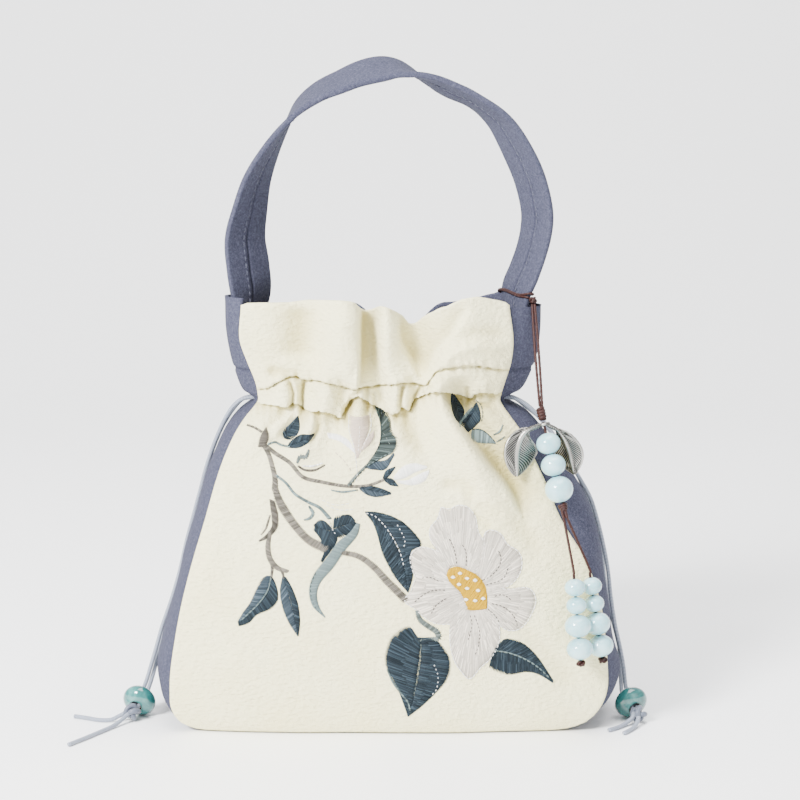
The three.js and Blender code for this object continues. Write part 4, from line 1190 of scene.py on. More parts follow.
def sew(name, stitches):
    """Makes the stitches one mesh on the front's surface, each a closed bar with its own tint."""
    stitches = np.vstack(stitches)
    count, steps = len(stitches), len(CREST) - 1
    t = np.linspace(0, 1, steps + 1)
    reach = stitches[:, 2:4] - stitches[:, 0:2]
    along = reach / np.maximum(np.linalg.norm(reach, axis=1), TINY)[:, None]
    across = np.stack([-along[:, 1], along[:, 0]], axis=1)
    middle = stitches[:, None, 0:2] + reach[:, None] * t[None, :, None]
    width, lift = stitches[:, 4], stitches[:, 5]
    cloth = depth_seen(middle[:, :, 0], middle[:, :, 1])
    rings = []
    for side, high in ((-0.5, 0.0), (0.0, 1.0), (0.5, 0.0)):
        place = middle + across[:, None, :] * (side * width)[:, None, None]
        out = lift[:, None] * CREST + (high - BAR_SUNK) * BAR_RISE * width[:, None] - END_DIP * (CREST == 0)
        rings.append(np.stack([place[:, :, 0], -cloth - out, place[:, :, 1]], axis=-1))
    points = np.stack(rings, axis=2)
    corner = np.array([0, 1, 2])
    first = (np.arange(count) * (steps + 1) * 3)[:, None]
    base = first[:, :, None] + (np.arange(steps) * 3)[None, :, None]
    a, b = base + corner, base + (corner + 1) % 3
    quads = np.stack([a, b, b + 3, a + 3], axis=-1).reshape(-1, 4).tolist()
    caps = np.concatenate([first + corner[::-1], first + steps * 3 + corner]).tolist()
    piece = add_mesh(name, points.reshape(-1, 3), quads + caps)
    layer = piece.data.color_attributes.new("tint", "FLOAT_COLOR", "POINT")
    tints = np.column_stack([stitches[:, 6:9], np.ones(count)])
    layer.data.foreach_set("color", np.repeat(tints, (steps + 1) * 3, axis=0).astype(np.float32).ravel())
    print(name, "has", count, "stitches")
    return piece


# %% Threads' colours
SLATE = (0.0160, 0.0240, 0.0310)
SLATE_LIGHT = (0.034, 0.048, 0.061)
GREY_GREEN = (0.034, 0.046, 0.044)
GREY_GREEN_LIGHT = (0.12, 0.145, 0.135)
BARK = (0.16, 0.145, 0.118)
BARK_DARK = (0.095, 0.085, 0.07)
MIST = (0.135, 0.18, 0.18)
PEARL = (0.53, 0.485, 0.415)
WHITE = (0.86, 0.85, 0.82)
SHELL = (0.60, 0.50, 0.41)
YOLK = (0.50, 0.29, 0.0)
INK = (0.012, 0.012, 0.016)

# %% Branches
branches = [
    stripe([(247, 425), (255, 428), (262, 432)], (0.8, 1.2), tint=BARK),
    fill_between([(258, 447), (260, 437), (266, 428)], [(266, 446), (269, 437), (266, 428)], lift=0.5,
                 tint=BARK_DARK),
    stripe([(268, 444), (275, 442), (281, 445), (290, 447)], (1.0, 0.8), tint=MIST),
    stripe([(263, 444), (269, 455), (272, 465), (275, 478), (275, 492)], (2.0, 2.2, 2.6, 3.4), tint=BARK),
    stripe([(275, 488), (279, 500), (286, 513), (297, 528), (310, 541), (328, 549)],
           (3.2, 4.6, 4.2, 4.2, 5.0),
           slant=0.25, tint=BARK),
    stripe([(340, 552), (358, 556), (373, 566), (387, 581), (407, 601)], (2.4, 3.2, 4.0, 4.2), slant=0.25,
           tint=BARK),
    stripe([(272, 500), (275, 516), (274, 528), (266, 537), (259, 541)], (2.4, 3.6, 3.4, 2.2, 0.8),
           tint=BARK_DARK),
    stripe([(270, 515), (266, 528), (261, 535)], (0.8, 0.9, 0.4), tint=BARK),
    stripe([(270, 532), (268, 547), (270, 559), (277, 568), (288, 572)], (2.0, 2.8, 2.9, 1.8), tint=BARK),
    stripe([(272, 564), (272, 571), (271, 580)], (1.8, 1.3, 0.9), tint=BARK),
    stripe([(279, 568), (282, 572), (284, 579)], (1.6, 1.3, 0.9), tint=BARK_DARK),
    stripe([(265, 445), (275, 453), (290, 463), (303, 477), (322, 482), (345, 486), (366, 486), (384, 480)],
           (1.8, 1.9, 1.9, 1.6, 1.5, 1.2), tint=BARK),
    stripe([(297, 463), (300, 457), (306, 457), (309, 450)], (1.0, 2.2, 2.0, 0.8), tint=GREY_GREEN_LIGHT),
    stripe([(298, 466), (305, 470), (315, 470), (325, 465)], (1.0, 1.1, 0.6), tint=BARK_DARK),
    stripe([(303, 466), (313, 466), (323, 463)], (0.6, 0.8, 0.4), tint=WHITE),
    stripe([(276, 475), (286, 483), (295, 494), (308, 502), (320, 508), (330, 519)],
           (1.2, 1.3, 1.4, 1.6, 1.9), tint=MIST),
    stripe([(309, 506), (313, 513), (310, 518), (304, 520)], (0.8, 1.9, 1.6, 0.5), tint=MIST),
    stripe([(348, 486), (356, 476), (367, 465)], (1.6, 1.2, 1.0), tint=GREY_GREEN_LIGHT),
    running([(350, 486), (358, 476), (368, 466)], 1.6, 0.1, 0.4, 0.62, SLATE),
    stripe([(331, 490), (343, 492), (358, 490)], (0.5, 1.0, 0.5), tint=MIST),
    stripe([(417, 611), (420, 620), (429, 627), (437, 632), (438, 639), (428, 639), (418, 641)],
           (2.2, 2.8, 3.0, 3.2, 2.0, 1.0), slant=0.2, tint=GREY_GREEN_LIGHT),
    stripe([(494, 436), (500, 432), (503, 425)], (0.7, 0.9, 0.5), tint=MIST),
    stripe([(497, 443), (502, 440), (505, 437)], (0.7, 0.8, 0.4), tint=MIST),
]

# %% Leaves
LEAVES = {
    "great": ([(365, 512), (375, 516), (385, 526), (393, 538), (400, 552), (405, 570), (408, 592)],
              [(365, 512), (373, 523), (378, 537), (382, 552), (387, 563), (395, 577), (408, 592)],
              [(365, 512), (380, 513), (396, 518), (409, 527), (422, 544), (411, 552), (413, 574),
               (408, 592)]),
    "heart": ([(421, 638), (420, 660), (417, 680), (413, 700), (408, 716)],
              [(421, 640), (412, 636), (410, 627), (400, 629), (390, 639), (385, 655), (387, 669),
               (397, 687), (408, 715)],
              [(421, 640), (432, 638), (442, 645), (449, 656), (451, 667), (447, 680), (437, 692),
               (423, 705), (408, 716)]),
    "right": ([(493, 650), (510, 653), (525, 659), (539, 668), (553, 682)],
              [(486, 665), (496, 672), (510, 675), (527, 672), (540, 675), (553, 683)],
              [(500, 640), (511, 639), (525, 645), (538, 658), (553, 681)]),
    "small_upper": ([(284, 439), (291, 428), (298, 416)], [(284, 439), (283, 431), (290, 424), (298, 416)],
                    [(284, 440), (293, 439), (299, 430), (298, 416)]),
    "small_lower": ([(287, 447), (300, 442), (314, 436)], [(287, 447), (298, 448), (308, 443), (314, 436)],
                    [(287, 446), (294, 439), (303, 435), (314, 435)]),
    "hanging_left": ([(271, 576), (268, 590), (259, 603), (249, 613), (238, 623)],
                     [(270, 575), (262, 579), (256, 590), (250, 603), (243, 613), (238, 622)],
                     [(272, 577), (277, 588), (278, 600), (271, 609), (257, 615), (249, 623), (239, 626)]),
    "hanging_right": ([(283, 576), (289, 595), (294, 615), (298, 636)],
                      [(283, 576), (280, 592), (283, 609), (289, 623), (298, 636)],
                      [(284, 575), (292, 588), (298, 604), (300, 621), (298, 636)]),
    "under_twig": ([(359, 488), (372, 491), (391, 494)], [(359, 488), (367, 495), (378, 497), (391, 494)],
                   [(359, 487), (370, 486), (382, 489), (391, 493)]),
    "fold_left": ([(334, 533), (328, 530), (315, 527)],
                  [(336, 541), (326, 552), (320, 548), (321, 540), (314, 530)],
                  [(333, 531), (327, 523), (320, 520), (314, 525)]),
    "fold_right": ([(333, 529), (342, 526), (354, 521)], [(335, 536), (342, 538), (351, 532), (356, 523)],
                   [(333, 521), (336, 516), (343, 515), (350, 515), (355, 521)]),
    "upper_right_a": ([(452, 393), (457, 407), (461, 422)],
                      [(452, 393), (451, 404), (454, 415), (460, 424)],
                      [(452, 393), (458, 402), (464, 412), (462, 422)]),
    "upper_right_b": ([(477, 404), (472, 416), (464, 429)], [(477, 404), (470, 414), (461, 426)],
                      [(477, 404), (481, 415), (480, 423), (474, 429), (468, 434)]),
    "calyx_upper": ([(383, 479), (388, 473), (395, 467)], [(383, 479), (386, 471), (395, 467)],
                    [(384, 480), (390, 475), (395, 467)]),
    "calyx_lower": ([(384, 479), (391, 482), (398, 486)], [(384, 480), (390, 485), (398, 486)],
                    [(384, 479), (392, 479), (398, 486)]),
}
LIGHT_HALVES = ("small_upper", "hanging_left", "hanging_right", "under_twig")

leaves = []
for name, (rib, one, other) in LEAVES.items():
    long_rib = length_of(cloth_curve(rib)) > 20
    lead = 0.16 if long_rib else 0.3
    rows = 2 if name in ("great", "heart", "right") else 1
    first = SLATE_LIGHT if name in LIGHT_HALVES else SLATE
    leaves.append(fill_between(rib, one, lead=lead, rows=rows, lift=0.45, tint=first, vary=0.42))
    leaves.append(fill_between(rib, other, lead=lead, rows=rows, lift=0.5, tint=SLATE, vary=0.42))

leaves += [
    fill_between([(331, 527), (329, 538), (325, 550), (321, 561)],
                 [(338, 536), (336, 544), (330, 552), (322, 562)],
                 lift=0.5, tint=SLATE, vary=0.3),
    fill_between([(375, 408), (379, 418), (381, 430), (380, 442), (377, 450), (366, 466)],
                 [(375, 408), (384, 411), (390, 420), (392, 431), (399, 440), (396, 450), (385, 457),
                  (366, 467)],
                 lead=-0.2, pitch=0.6, lift=0.5, tint=GREY_GREEN, vary=0.6),
    fill_between([(366, 467), (376, 462), (386, 460), (394, 453)],
                 [(366, 468), (376, 470), (386, 469), (394, 455)],
                 lead=0.2, lift=0.55, tint=SLATE_LIGHT, vary=0.3),
    running([(367, 466), (378, 459), (393, 452)], 2.0, 0.1, 0.5, 0.75, MIST),
    running([(383, 432), (388, 440), (392, 449)], 1.8, 0.3, 0.4, 0.75, GREY_GREEN_LIGHT),
    running([(380, 413), (386, 421), (388, 430)], 1.8, 0.3, 0.4, 0.75, GREY_GREEN_LIGHT),
    running([(376, 409), (380, 419), (382, 431), (380, 443), (376, 451)], 1.6, 0.2, 0.4, 0.75, SLATE),
    fill_between([(357, 523), (348, 534), (337, 543), (327, 557), (314, 574), (309, 590), (313, 606),
                  (325, 617)],
                 [(360, 524), (357, 536), (344, 552), (334, 567), (321, 582), (317, 594), (319, 606),
                  (325, 617)],
                 lift=0.62, tint=MIST, vary=0.1),
    running([(316, 572), (311, 584), (311, 596), (316, 608), (324, 616)], 2.0, 0.05, 0.4, 0.75, GREY_GREEN),
    stripe([(387, 669), (393, 682), (402, 694), (408, 702), (410, 710)], (0.5, 1.0, 1.1, 1.0), lift=0.6,
           tint=MIST),
    running([(494, 650), (510, 653), (525, 659), (539, 668), (552, 681)], 2.4, -0.1, 0.7, 0.75, MIST),
    running([(271, 577), (268, 590), (259, 603), (249, 613), (239, 622)], 2.4, -0.1, 0.6, 0.75, MIST),
    running([(366, 513), (375, 516), (385, 526), (393, 538), (400, 552), (405, 570)], 1.3, 0.8, 0.45, 0.85),
    running([(397, 524), (402, 533), (405, 541), (403, 549)], 1.2, 0.8, 0.42, 0.8),
    running([(421, 644), (420, 660), (417, 680), (413, 698)], 1.2, 0.9, 0.42, 0.85, GREY_GREEN_LIGHT),
    running([(434, 664), (438, 676), (436, 690), (428, 697)], 1.2, 0.9, 0.42, 0.8),
    running([(329, 521), (333, 530), (338, 537)], 1.1, 0.7, 0.42, 0.85),
    stripe([(459, 425), (466, 417), (473, 409)], (1.3, 1.5, 0.7), lift=0.6, tint=MIST),
    running([(476, 401), (481, 406), (483, 415), (481, 425)], 1.8, 0.05, 0.45, 0.6, GREY_GREEN_LIGHT),
    fill_between([(472, 432), (482, 431), (490, 437), (496, 444)],
                 [(470, 437), (475, 443), (485, 445), (496, 445)],
                 lead=0.2, lift=0.5, tint=MIST, vary=0.3),
    running([(472, 431), (482, 431), (490, 437), (497, 445)], 1.8, 0.05, 0.42, 0.72, SLATE),
]

# %% Flower
PETALS = [
    ([(447, 569), (454, 566), (464, 568), (475, 573)],
     [(442, 551), (431, 541), (430, 528), (438, 518), (441, 507), (449, 509), (459, 504), (469, 507),
      (476, 518),
      (478, 531), (484, 542), (484, 556), (479, 570)], 5, 0.4),
    ([(476, 573), (482, 579), (486, 585), (488, 590)],
     [(482, 560), (484, 545), (485, 532), (494, 530), (502, 535), (507, 544), (518, 551), (522, 560),
      (520, 573),
      (510, 585), (496, 589)], 4, 0.55),
    ([(487, 590), (488, 597), (488, 604), (486, 609)],
     [(497, 588), (512, 589), (525, 587), (533, 591), (536, 601), (532, 613), (526, 624), (517, 631),
      (504, 629),
      (494, 618)], 4, 0.45),
    ([(485, 609), (478, 610), (471, 611), (465, 609)],
     [(493, 613), (499, 625), (499, 642), (491, 658), (480, 668), (470, 679), (461, 671), (454, 660),
      (450, 643),
      (450, 625)], 5, 0.55),
    ([(468, 607), (465, 598), (460, 591), (452, 584)],
     [(451, 624), (437, 624), (425, 618), (415, 609), (404, 601), (411, 591), (414, 582), (417, 576)], 4,
     0.45),
    ([(453, 585), (450, 579), (448, 573), (449, 569)],
     [(416, 578), (411, 565), (411, 554), (420, 547), (432, 549), (443, 553)], 4, 0.6),
]
VEINS = [
    [(449, 538), (454, 548), (456, 558), (457, 567)], [(462, 544), (466, 552), (466, 568)],
    [(498, 550), (501, 558), (498, 568), (490, 576), (481, 581)],
    [(508, 567), (505, 576), (498, 581), (485, 585)],
    [(494, 596), (502, 594), (508, 597), (513, 602)],
    [(491, 603), (502, 606), (511, 613), (516, 621), (518, 629)],
    [(487, 608), (494, 614), (500, 623)], [(470, 614), (472, 624), (470, 633), (467, 643)],
    [(474, 614), (479, 628), (479, 642), (475, 655)], [(414, 602), (424, 594), (434, 590), (446, 590)],
    [(431, 614), (436, 605), (448, 597)], [(421, 578), (430, 577), (440, 582)],
]
HEART_TOP = [(447, 573), (450, 569), (458, 567), (467, 570), (477, 575), (484, 583), (487, 595), (486, 607)]
HEART_LOW = [(447, 576), (449, 583), (455, 589), (460, 593), (463, 601), (466, 609), (476, 610), (486, 608)]
HEART_DOTS = [(453, 577), (460, 573), (467, 578), (475, 580), (459, 584), (467, 588), (478, 590),
              (483, 598),
              (466, 599), (475, 600)]

petals = [fill_between(base, rim, rows=rows, lift=lift, pitch=0.62, tint=PEARL, vary=0.2)
          for base, rim, rows, lift in PETALS]
petals += [running(rim, 2.2, 0.0, 0.55, lift + 0.05, WHITE) for _, rim, _, lift in PETALS]
petals += [running(vein, 1.8, 0.0, 0.34, 0.95, INK) for vein in VEINS]
petals.append(fill_between(HEART_TOP, HEART_LOW, rows=2, lift=0.95, tint=YOLK, vary=0.08))
for across, down in HEART_DOTS:
    petals.append(fill_between([(across - 1.9, down), (across, down - 2), (across + 1.9, down)],
                               [(across - 1.9, down), (across, down + 2), (across + 1.9, down)],
                               pitch=0.34, lift=1.5, tint=WHITE, vary=0.04))

# %% Pale bloom and bud
pale = [
    fill_between([(350, 416), (350, 430), (354, 446), (357, 458)],
                 [(369, 416), (369, 430), (363, 445), (358, 458)],
                 rows=3, lift=0.28, tint=SHELL, vary=0.04),
    fill_between([(327, 433), (340, 435), (349, 441), (355, 452)],
                 [(329, 438), (340, 441), (348, 447), (355, 453)],
                 lift=0.4, tint=WHITE, vary=0.05),
    fill_between([(374, 431), (366, 439), (360, 451)], [(374, 436), (369, 445), (360, 452)], lift=0.4,
                 tint=SHELL, vary=0.05),
    running([(349, 414), (349, 430), (354, 447), (357, 470), (356, 484)], 2.0, 0.0, 0.42, 0.4, WHITE),
    running([(370, 414), (371, 428), (364, 444), (358, 457)], 2.0, 0.0, 0.42, 0.4, WHITE),
    running([(360, 425), (359, 440), (358, 455)], 2.0, 0.0, 0.36, 0.45, WHITE),
    running([(335, 452), (345, 462), (353, 474)], 2.0, 0.3, 0.36, 0.3, SHELL),
    fill_between([(394, 477), (402, 467), (413, 463), (427, 466)],
                 [(394, 480), (405, 478), (415, 472), (427, 467)],
                 lift=0.5, tint=WHITE, vary=0.04),
    fill_between([(397, 481), (408, 480), (419, 474), (429, 470)],
                 [(399, 483), (413, 485), (424, 481), (429, 472)],
                 lift=0.45, tint=WHITE, vary=0.04),
    running([(326, 505), (340, 510), (356, 509)], 2.0, 0.2, 0.4, 0.3, WHITE),
    running([(322, 500), (336, 505), (352, 503)], 2.0, 0.2, 0.4, 0.3, WHITE),
]

embroidery = [sew("embroidered_branches", branches), sew("embroidered_leaves", leaves),
              sew("embroidered_flower", petals), sew("embroidered_bloom", pale)]


# %% Thread finish
def glossy_thread():
    g = Graph("glossy embroidery thread", Roughness=0.6, Specular_IOR_Level=0.1)
    tint = g.attribute("tint")
    twist = g.noise(2600, 2.0, 0.5)
    worn = g.mix(0.15, tint, (0.0, 0.0, 0.0))
    colour = g.mix(twist, tint, worn)
    return g.finish(twist, 0.25, 0.0001, Base_Color=colour)


thread = glossy_thread()
for piece in embroidery:
    dress(piece, thread)

# %% [markdown]
# The cream cloth is a crinkled cotton: a fine weave under small uneven pebbles. Painted shade turns it a
# warmer, darker tone in its creases and along the channel's seam. The blue-grey cloth is brushed, so
# light and dark fibres speckle it, and painted shade darkens it along its seams.

# %% Cloth finishes
def cream_cloth():
    g = Graph("crinkled cream cotton", Roughness=0.92, Sheen_Weight=0.1, Sheen_Roughness=0.6)
    pebbles = g.noise(1500, 2.0, 0.6)
    crinkle = g.node("ShaderNodeTexVoronoi", {"feature": "SMOOTH_F1"},
                     {"Vector": g.scaled((1.0, 1.0, 1.7)), "Scale": 430.0})
    broad = g.noise(28, 3.0)
    tone = g.ramp(broad, (0.3, (0.86, 0.785, 0.42)), (0.7, (0.90, 0.845, 0.51)))
    pebbled = g.mix(pebbles * 0.35, tone, (0.90, 0.865, 0.63))
    # Painted shade: the colour turns a dark warm olive where the stored shade value is high.
    colour = g.mix(g.attribute("hollow", 2) * 0.85, pebbled, (0.42, 0.34, 0.09))
    height = crinkle * 0.8 + pebbles * 0.6
    return g.finish(height, 1.0, 0.0012, Base_Color=colour)


def blue_cloth():
    g = Graph("brushed blue-grey cotton", Roughness=0.97, Specular_IOR_Level=0.2)
    fibres = g.noise(2400, 3.0, 0.7)
    patches = g.noise(900, 2.0, 0.6)
    broad = g.noise(30, 2.0)
    speckle = fibres * 0.6 + patches * 0.4
    tone = g.ramp(speckle, (0.34, (0.016, 0.017, 0.031)), (0.5, (0.041, 0.043, 0.070)),
                  (0.66, (0.088, 0.091, 0.132)))
    mixed = g.mix(broad * 0.4, tone, (0.051, 0.053, 0.083))
    # Painted shade: the colour turns a dark blue, near black, along the seams where the stored value says
    # so.
    colour = g.mix(g.attribute("hollow", 2) * 0.85, mixed, (0.010, 0.011, 0.022))
    return g.finish(speckle, 0.5, 0.0005, Base_Color=colour)


dress_all(cream_cloth(), {"front_panel": front})
dress_all(blue_cloth(), {"back_panel": back, "gusset": gusset, "strap": strap})


def sewing_thread():
    g = Graph("dark blue sewing thread", Roughness=0.5, Sheen_Weight=0.2)
    twist = g.noise(3000, 2.0)
    return g.finish(twist, 0.2, 0.0001, Base_Color=g.mix(twist, (0.02, 0.022, 0.042), (0.05, 0.055, 0.095)))


dress(strap_stitches, sewing_thread())


# %% Cord finish
def satin_cord():
    g = Graph("pale grey satin braid", Roughness=0.45, Sheen_Weight=0.3)
    wave = g.node("ShaderNodeTexWave", {"wave_type": "BANDS", "bands_direction": "DIAGONAL"},
                  {"Vector": g.scaled((2.0, 9.0, 1.0), g.uv), "Scale": 1.0})
    colour = g.mix(wave, (0.085, 0.10, 0.14), (0.33, 0.365, 0.44))
    return g.finish(wave, 0.4, 0.0002, Base_Color=colour)


braid = satin_cord()

for name, (route, nodes) in CORDS.items():
    dress(cords[name], braid)
    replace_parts(cords[name], *nodes)
    path = to_frame(cord_paths[name])

# %% [markdown]
# The beads are glazed clay, thick in the wall, with a large hole on the cords and a small one on the
# charm. Each kind is modelled once: a sphere, cut flat at both poles, whose two open rims are bridged to
# form the bore. A small bevel rounds the rims as glaze does. Copies are then put in their places.

# %% A drilled bead
def choose(piece):
    bpy.ops.object.select_all(action="DESELECT")
    piece.select_set(True)
    bpy.context.view_layer.objects.active = piece


def apply_modifiers(piece):
    choose(piece)
    for modifier in list(piece.modifiers):
        bpy.ops.object.modifier_apply(modifier=modifier.name)


BEAD_SEGMENTS = 36
BEAD_RINGS = 28
RIM_ROUNDING = 0.05
SHARP_RIM = math.radians(38)
THIN_GLAZE = 0.035


def drilled_bead(name, diameter, length, bore):
    """A bead round the z axis at the origin. Sizes are in millimetres."""
    cut = math.sqrt((diameter / 2) ** 2 - (bore / 2) ** 2) * MM
    bpy.ops.object.select_all(action="DESELECT")
    bpy.ops.mesh.primitive_uv_sphere_add(segments=BEAD_SEGMENTS, ring_count=BEAD_RINGS,
                                         radius=diameter / 2 * MM)
    bead = bpy.context.object
    bead.name = name
    bpy.ops.object.mode_set(mode="EDIT")
    bpy.ops.mesh.select_mode(type="EDGE")
    for height, facing in ((cut, 1), (-cut, -1)):
        bpy.ops.mesh.select_all(action="SELECT")
        bpy.ops.mesh.bisect(plane_co=(0, 0, height), plane_no=(0, 0, facing), clear_outer=True)
    bpy.ops.mesh.select_all(action="DESELECT")
    shape = bmesh.from_edit_mesh(bead.data)
    for edge in shape.edges:
        edge.select_set(edge.is_boundary)
    bmesh.update_edit_mesh(bead.data)
    bpy.ops.mesh.bridge_edge_loops(number_cuts=3)
    bpy.ops.mesh.select_all(action="SELECT")
    bpy.ops.transform.resize(value=(1, 1, length / 2 * MM / cut))
    bpy.ops.mesh.normals_make_consistent(inside=False)
    bpy.ops.object.mode_set(mode="OBJECT")
    rounding = bead.modifiers.new("rounded rims", "BEVEL")
    rounding.width = RIM_ROUNDING * diameter * MM
    rounding.segments = 3
    rounding.angle_limit = SHARP_RIM
    apply_modifiers(bead)
    bpy.ops.object.shade_smooth()
    rim = bead.data.attributes.new("rim", "FLOAT", "POINT")
    for vertex in bead.data.vertices:
        off = math.hypot(vertex.co.x, vertex.co.y) / MM - bore / 2
        rim.data[vertex.index].value = max(0.0, min(1.0, 1 - off / (THIN_GLAZE * diameter)))
    return bead


def placed_copy(model, name, middle, axis, scale=(1, 1, 1)):
    """A copy with its own mesh, its z axis turned along axis, and its place kept in the mesh."""
    piece = model.copy()
    piece.data = model.data.copy()
    piece.name = piece.data.name = name
    bpy.context.scene.collection.objects.link(piece)
    turn = Vector((0, 0, 1)).rotation_difference(Vector(axis).normalized()).to_matrix().to_4x4()
    piece.matrix_world = Matrix.Translation(to_frame(middle)[0]) @ turn @ Matrix.Diagonal((*scale, 1))
    choose(piece)
    bpy.ops.object.transform_apply(location=True, rotation=True, scale=True)
    return piece


# %% Beads on the cords
BIG_BEAD = {"diameter": 16, "length": 10, "bore": 5.4}
CORD_BEADS = {
    "left_cord_bead": ((-118.75, -10.8, 7.65), (-0.27, -0.89, -0.36)),
    "right_cord_bead": ((115.1, -13.2, 7.65), (0.33, -0.87, -0.36)),
}
big_model = drilled_bead("big_bead_model", **BIG_BEAD)
cord_beads = {node: placed_copy(big_model, "glazed_" + node, middle, axis)
              for node, (middle, axis) in CORD_BEADS.items()}
bpy.data.objects.remove(big_model)
print("beads on the cords:", len(cord_beads))

# %% [markdown]
# The charm hangs on doubled waxed thread. Its places are shares of the bag's sizes: the knot, the point
# where the thread divides, and the two ends. The beads follow each other down those straight runs.

# %% Places along the charm
CHARM_ROUTE = {
    "knot": (0.636, 0.633, 0.74), "split": (0.738, 0.914, 0.5), "front": (0.766, 1.086, 0.383),
    "front_end": (0.799, 1.214, 0.175), "back": (0.838, 0.943, 0.378), "back_end": (0.896, 1.014, 0.175),
}
THREAD = 1.3
BEAD_GAP = 0.3
CLEAR = 0.4
CHARM_KNOT_LENGTH = 7
WHIPPING_LENGTH = 7
EYE_DROP = 5.2
CHARM_BEADS = {
    "charm_top": [(11.2, 9.6), (11.4, 10.0), (13.0, 12.0)],
    "charm_front": [(9.5, 8.0), (9.3, 7.9), (12.2, 10.3), (12.2, 10.0)],
    "charm_back": [(9.3, 8.0), (9.1, 7.8), (12.0, 10.4), (12.0, 10.0)],
}
route = {name: np.array([across * HALF_WIDTH, -out * HALF_DEPTH, up * RIM_HEIGHT])
         for name, (across, out, up) in CHARM_ROUTE.items()}


def towards(a, b, distance):
    return a + (b - a) / np.linalg.norm(b - a) * distance


def node_box(node):
    """A solid's lowest and highest corners, in millimetres about the bag's own middle."""
    corners = np.array([list(corner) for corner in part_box(node)]) / MM
    corners[:, 1] -= SET_BACK
    return corners


core_from = towards(route["knot"], route["split"], CHARM_KNOT_LENGTH / 2 + CLEAR)
down = Vector(route["split"] - route["knot"]).normalized()
eye = towards(route["knot"], route["split"], EYE_DROP)

# %% Pale beads
PALE_MODEL = (12.0, 10.0)
pale_model = drilled_bead("pale_bead_model", *PALE_MODEL, 2.2)
pale_beads = {}
ends = {}
for run, (a, b, start) in {
    "charm_top": (core_from, route["split"], 5.4), "charm_front": (route["front"], route["front_end"], 0.6),
    "charm_back": (route["back"], route["back_end"], 0.6),
}.items():
    at = start
    for k, (diameter, length) in enumerate(CHARM_BEADS[run]):
        node = f"{run}_bead_{k + 1}"
        scale = (diameter / PALE_MODEL[0], diameter / PALE_MODEL[0], length / PALE_MODEL[1])
        pale_beads[node] = placed_copy(pale_model, "glazed_" + node, towards(a, b, at + length / 2), b - a,
                                       scale)
        at += length + BEAD_GAP
    ends[run] = at
bpy.data.objects.remove(pale_model)
print("beads on the charm:", len(pale_beads))

# %% [markdown]
# Thread of this kind is two strands twisted together. Its round section is pinched on two sides, and
# the pinch turns along the thread. A knot is the same kind of tube on a knotted curve: a small overhand
# knot, or turns laid side by side round the thread.

# %% Threads and knots
KNOT_STEPS = 96


def twisted_data(path, radius, around=12, pitch=2.6, pinch=0.14):
    angles = 2 * np.pi * np.arange(around) / around
    turned = np.abs(np.cos(angles - np.pi * distances_along(path)[:, None] / pitch))
    return tube_data(path, radius * (1 - pinch + pinch * turned), around)


def turned_to(points, middle, axis):
    """Points round the z axis, turned along axis and moved to middle."""
    turn = Vector((0, 0, 1)).rotation_difference(Vector(axis).normalized()).to_matrix()
    return np.asarray(points) @ np.array(turn).T + middle


def overhand(middle, axis, ring, swing, radius, tall, twist=2.6):
    t = np.linspace(0, 2 * np.pi, KNOT_STEPS)
    reach = ring + swing * np.cos(3 * t)
    path = np.stack([reach * np.cos(2 * t), reach * np.sin(2 * t), swing * np.sin(3 * t) * tall], axis=1)
    return twisted_data(turned_to(path, middle, axis), radius, pitch=twist)


def wound(middle, axis, lengthways, turns, wide, narrow, radius):
    """Turns of thread side by side. wide and narrow are the radii of the first and the last turn."""
    t = np.linspace(0, 1, int(turns * 26))
    reach = wide + (narrow - wide) * t - 0.35 * np.abs(2 * t - 1) ** 6
    angle = 2 * np.pi * turns * t
    path = np.stack([reach * np.cos(angle), reach * np.sin(angle), (t - 0.5) * lengthways], axis=1)
    return twisted_data(turned_to(path, middle, axis), radius)


def straight(a, b, step=0.5):
    count = max(2, round(float(np.linalg.norm(np.subtract(b, a)) / step)))
    return np.asarray(a) + np.linspace(0, 1, count)[:, None] * (np.asarray(b) - np.asarray(a))


# %% Knots below the cords' beads
CORD_KNOT = 7
cord_knots = {}
for side, (middle, axis) in zip(("left", "right"), CORD_BEADS.values()):
    unit = np.array(axis) / np.linalg.norm(axis)
    place = np.array(middle) + unit * (BIG_BEAD["length"] / 2 + SEAM_GAP + CORD_KNOT / 2)
    knot = overhand(place, unit, ring=1.75, swing=1.15, radius=1.3, tall=1.75, twist=5)
    cord_knots[f"{side}_cord_knot"] = add_mesh(f"{side}_cord_overhand", *knot)
    print(side, "knot at", [round(v, 1) for v in place])

# %% The charm's threads
hitch_low, hitch_high = node_box("charm_hitch")
hitch_middle = (hitch_low + hitch_high) / 2
near = int(np.argmin(np.linalg.norm((strap_path - hitch_middle)[:, [0, 2]], axis=1)))
t = np.linspace(0, 2 * np.pi, 90)
across, thick = strap_width[near], strap_thick[near]
SLIP = 2.0
END_KNOT_DROP = 1.4
loops = []
for rise, tilt in ((0.75, 0.7), (-0.75, -0.5)):
    wide = (STRAP_WIDTH / 2 + 1.15) * np.sign(np.cos(t)) * np.abs(np.cos(t)) ** 0.35
    deep = (STRAP_THICKNESS / 2 + 0.95) * np.sign(np.sin(t)) * np.abs(np.sin(t)) ** 0.6
    drop = SLIP * (1 - np.cos(t) * np.sign(across[0]))
    rises = rise + tilt * np.sin(t + 0.6) + drop
    loops.append(twisted_data(strap_path[near] + wide[:, None] * across + deep[:, None] * thick
                              + rises[:, None] * strap_along[near], 0.55))
threads = {"charm_hitch": add_mesh("thread_round_strap", *joined(loops))}

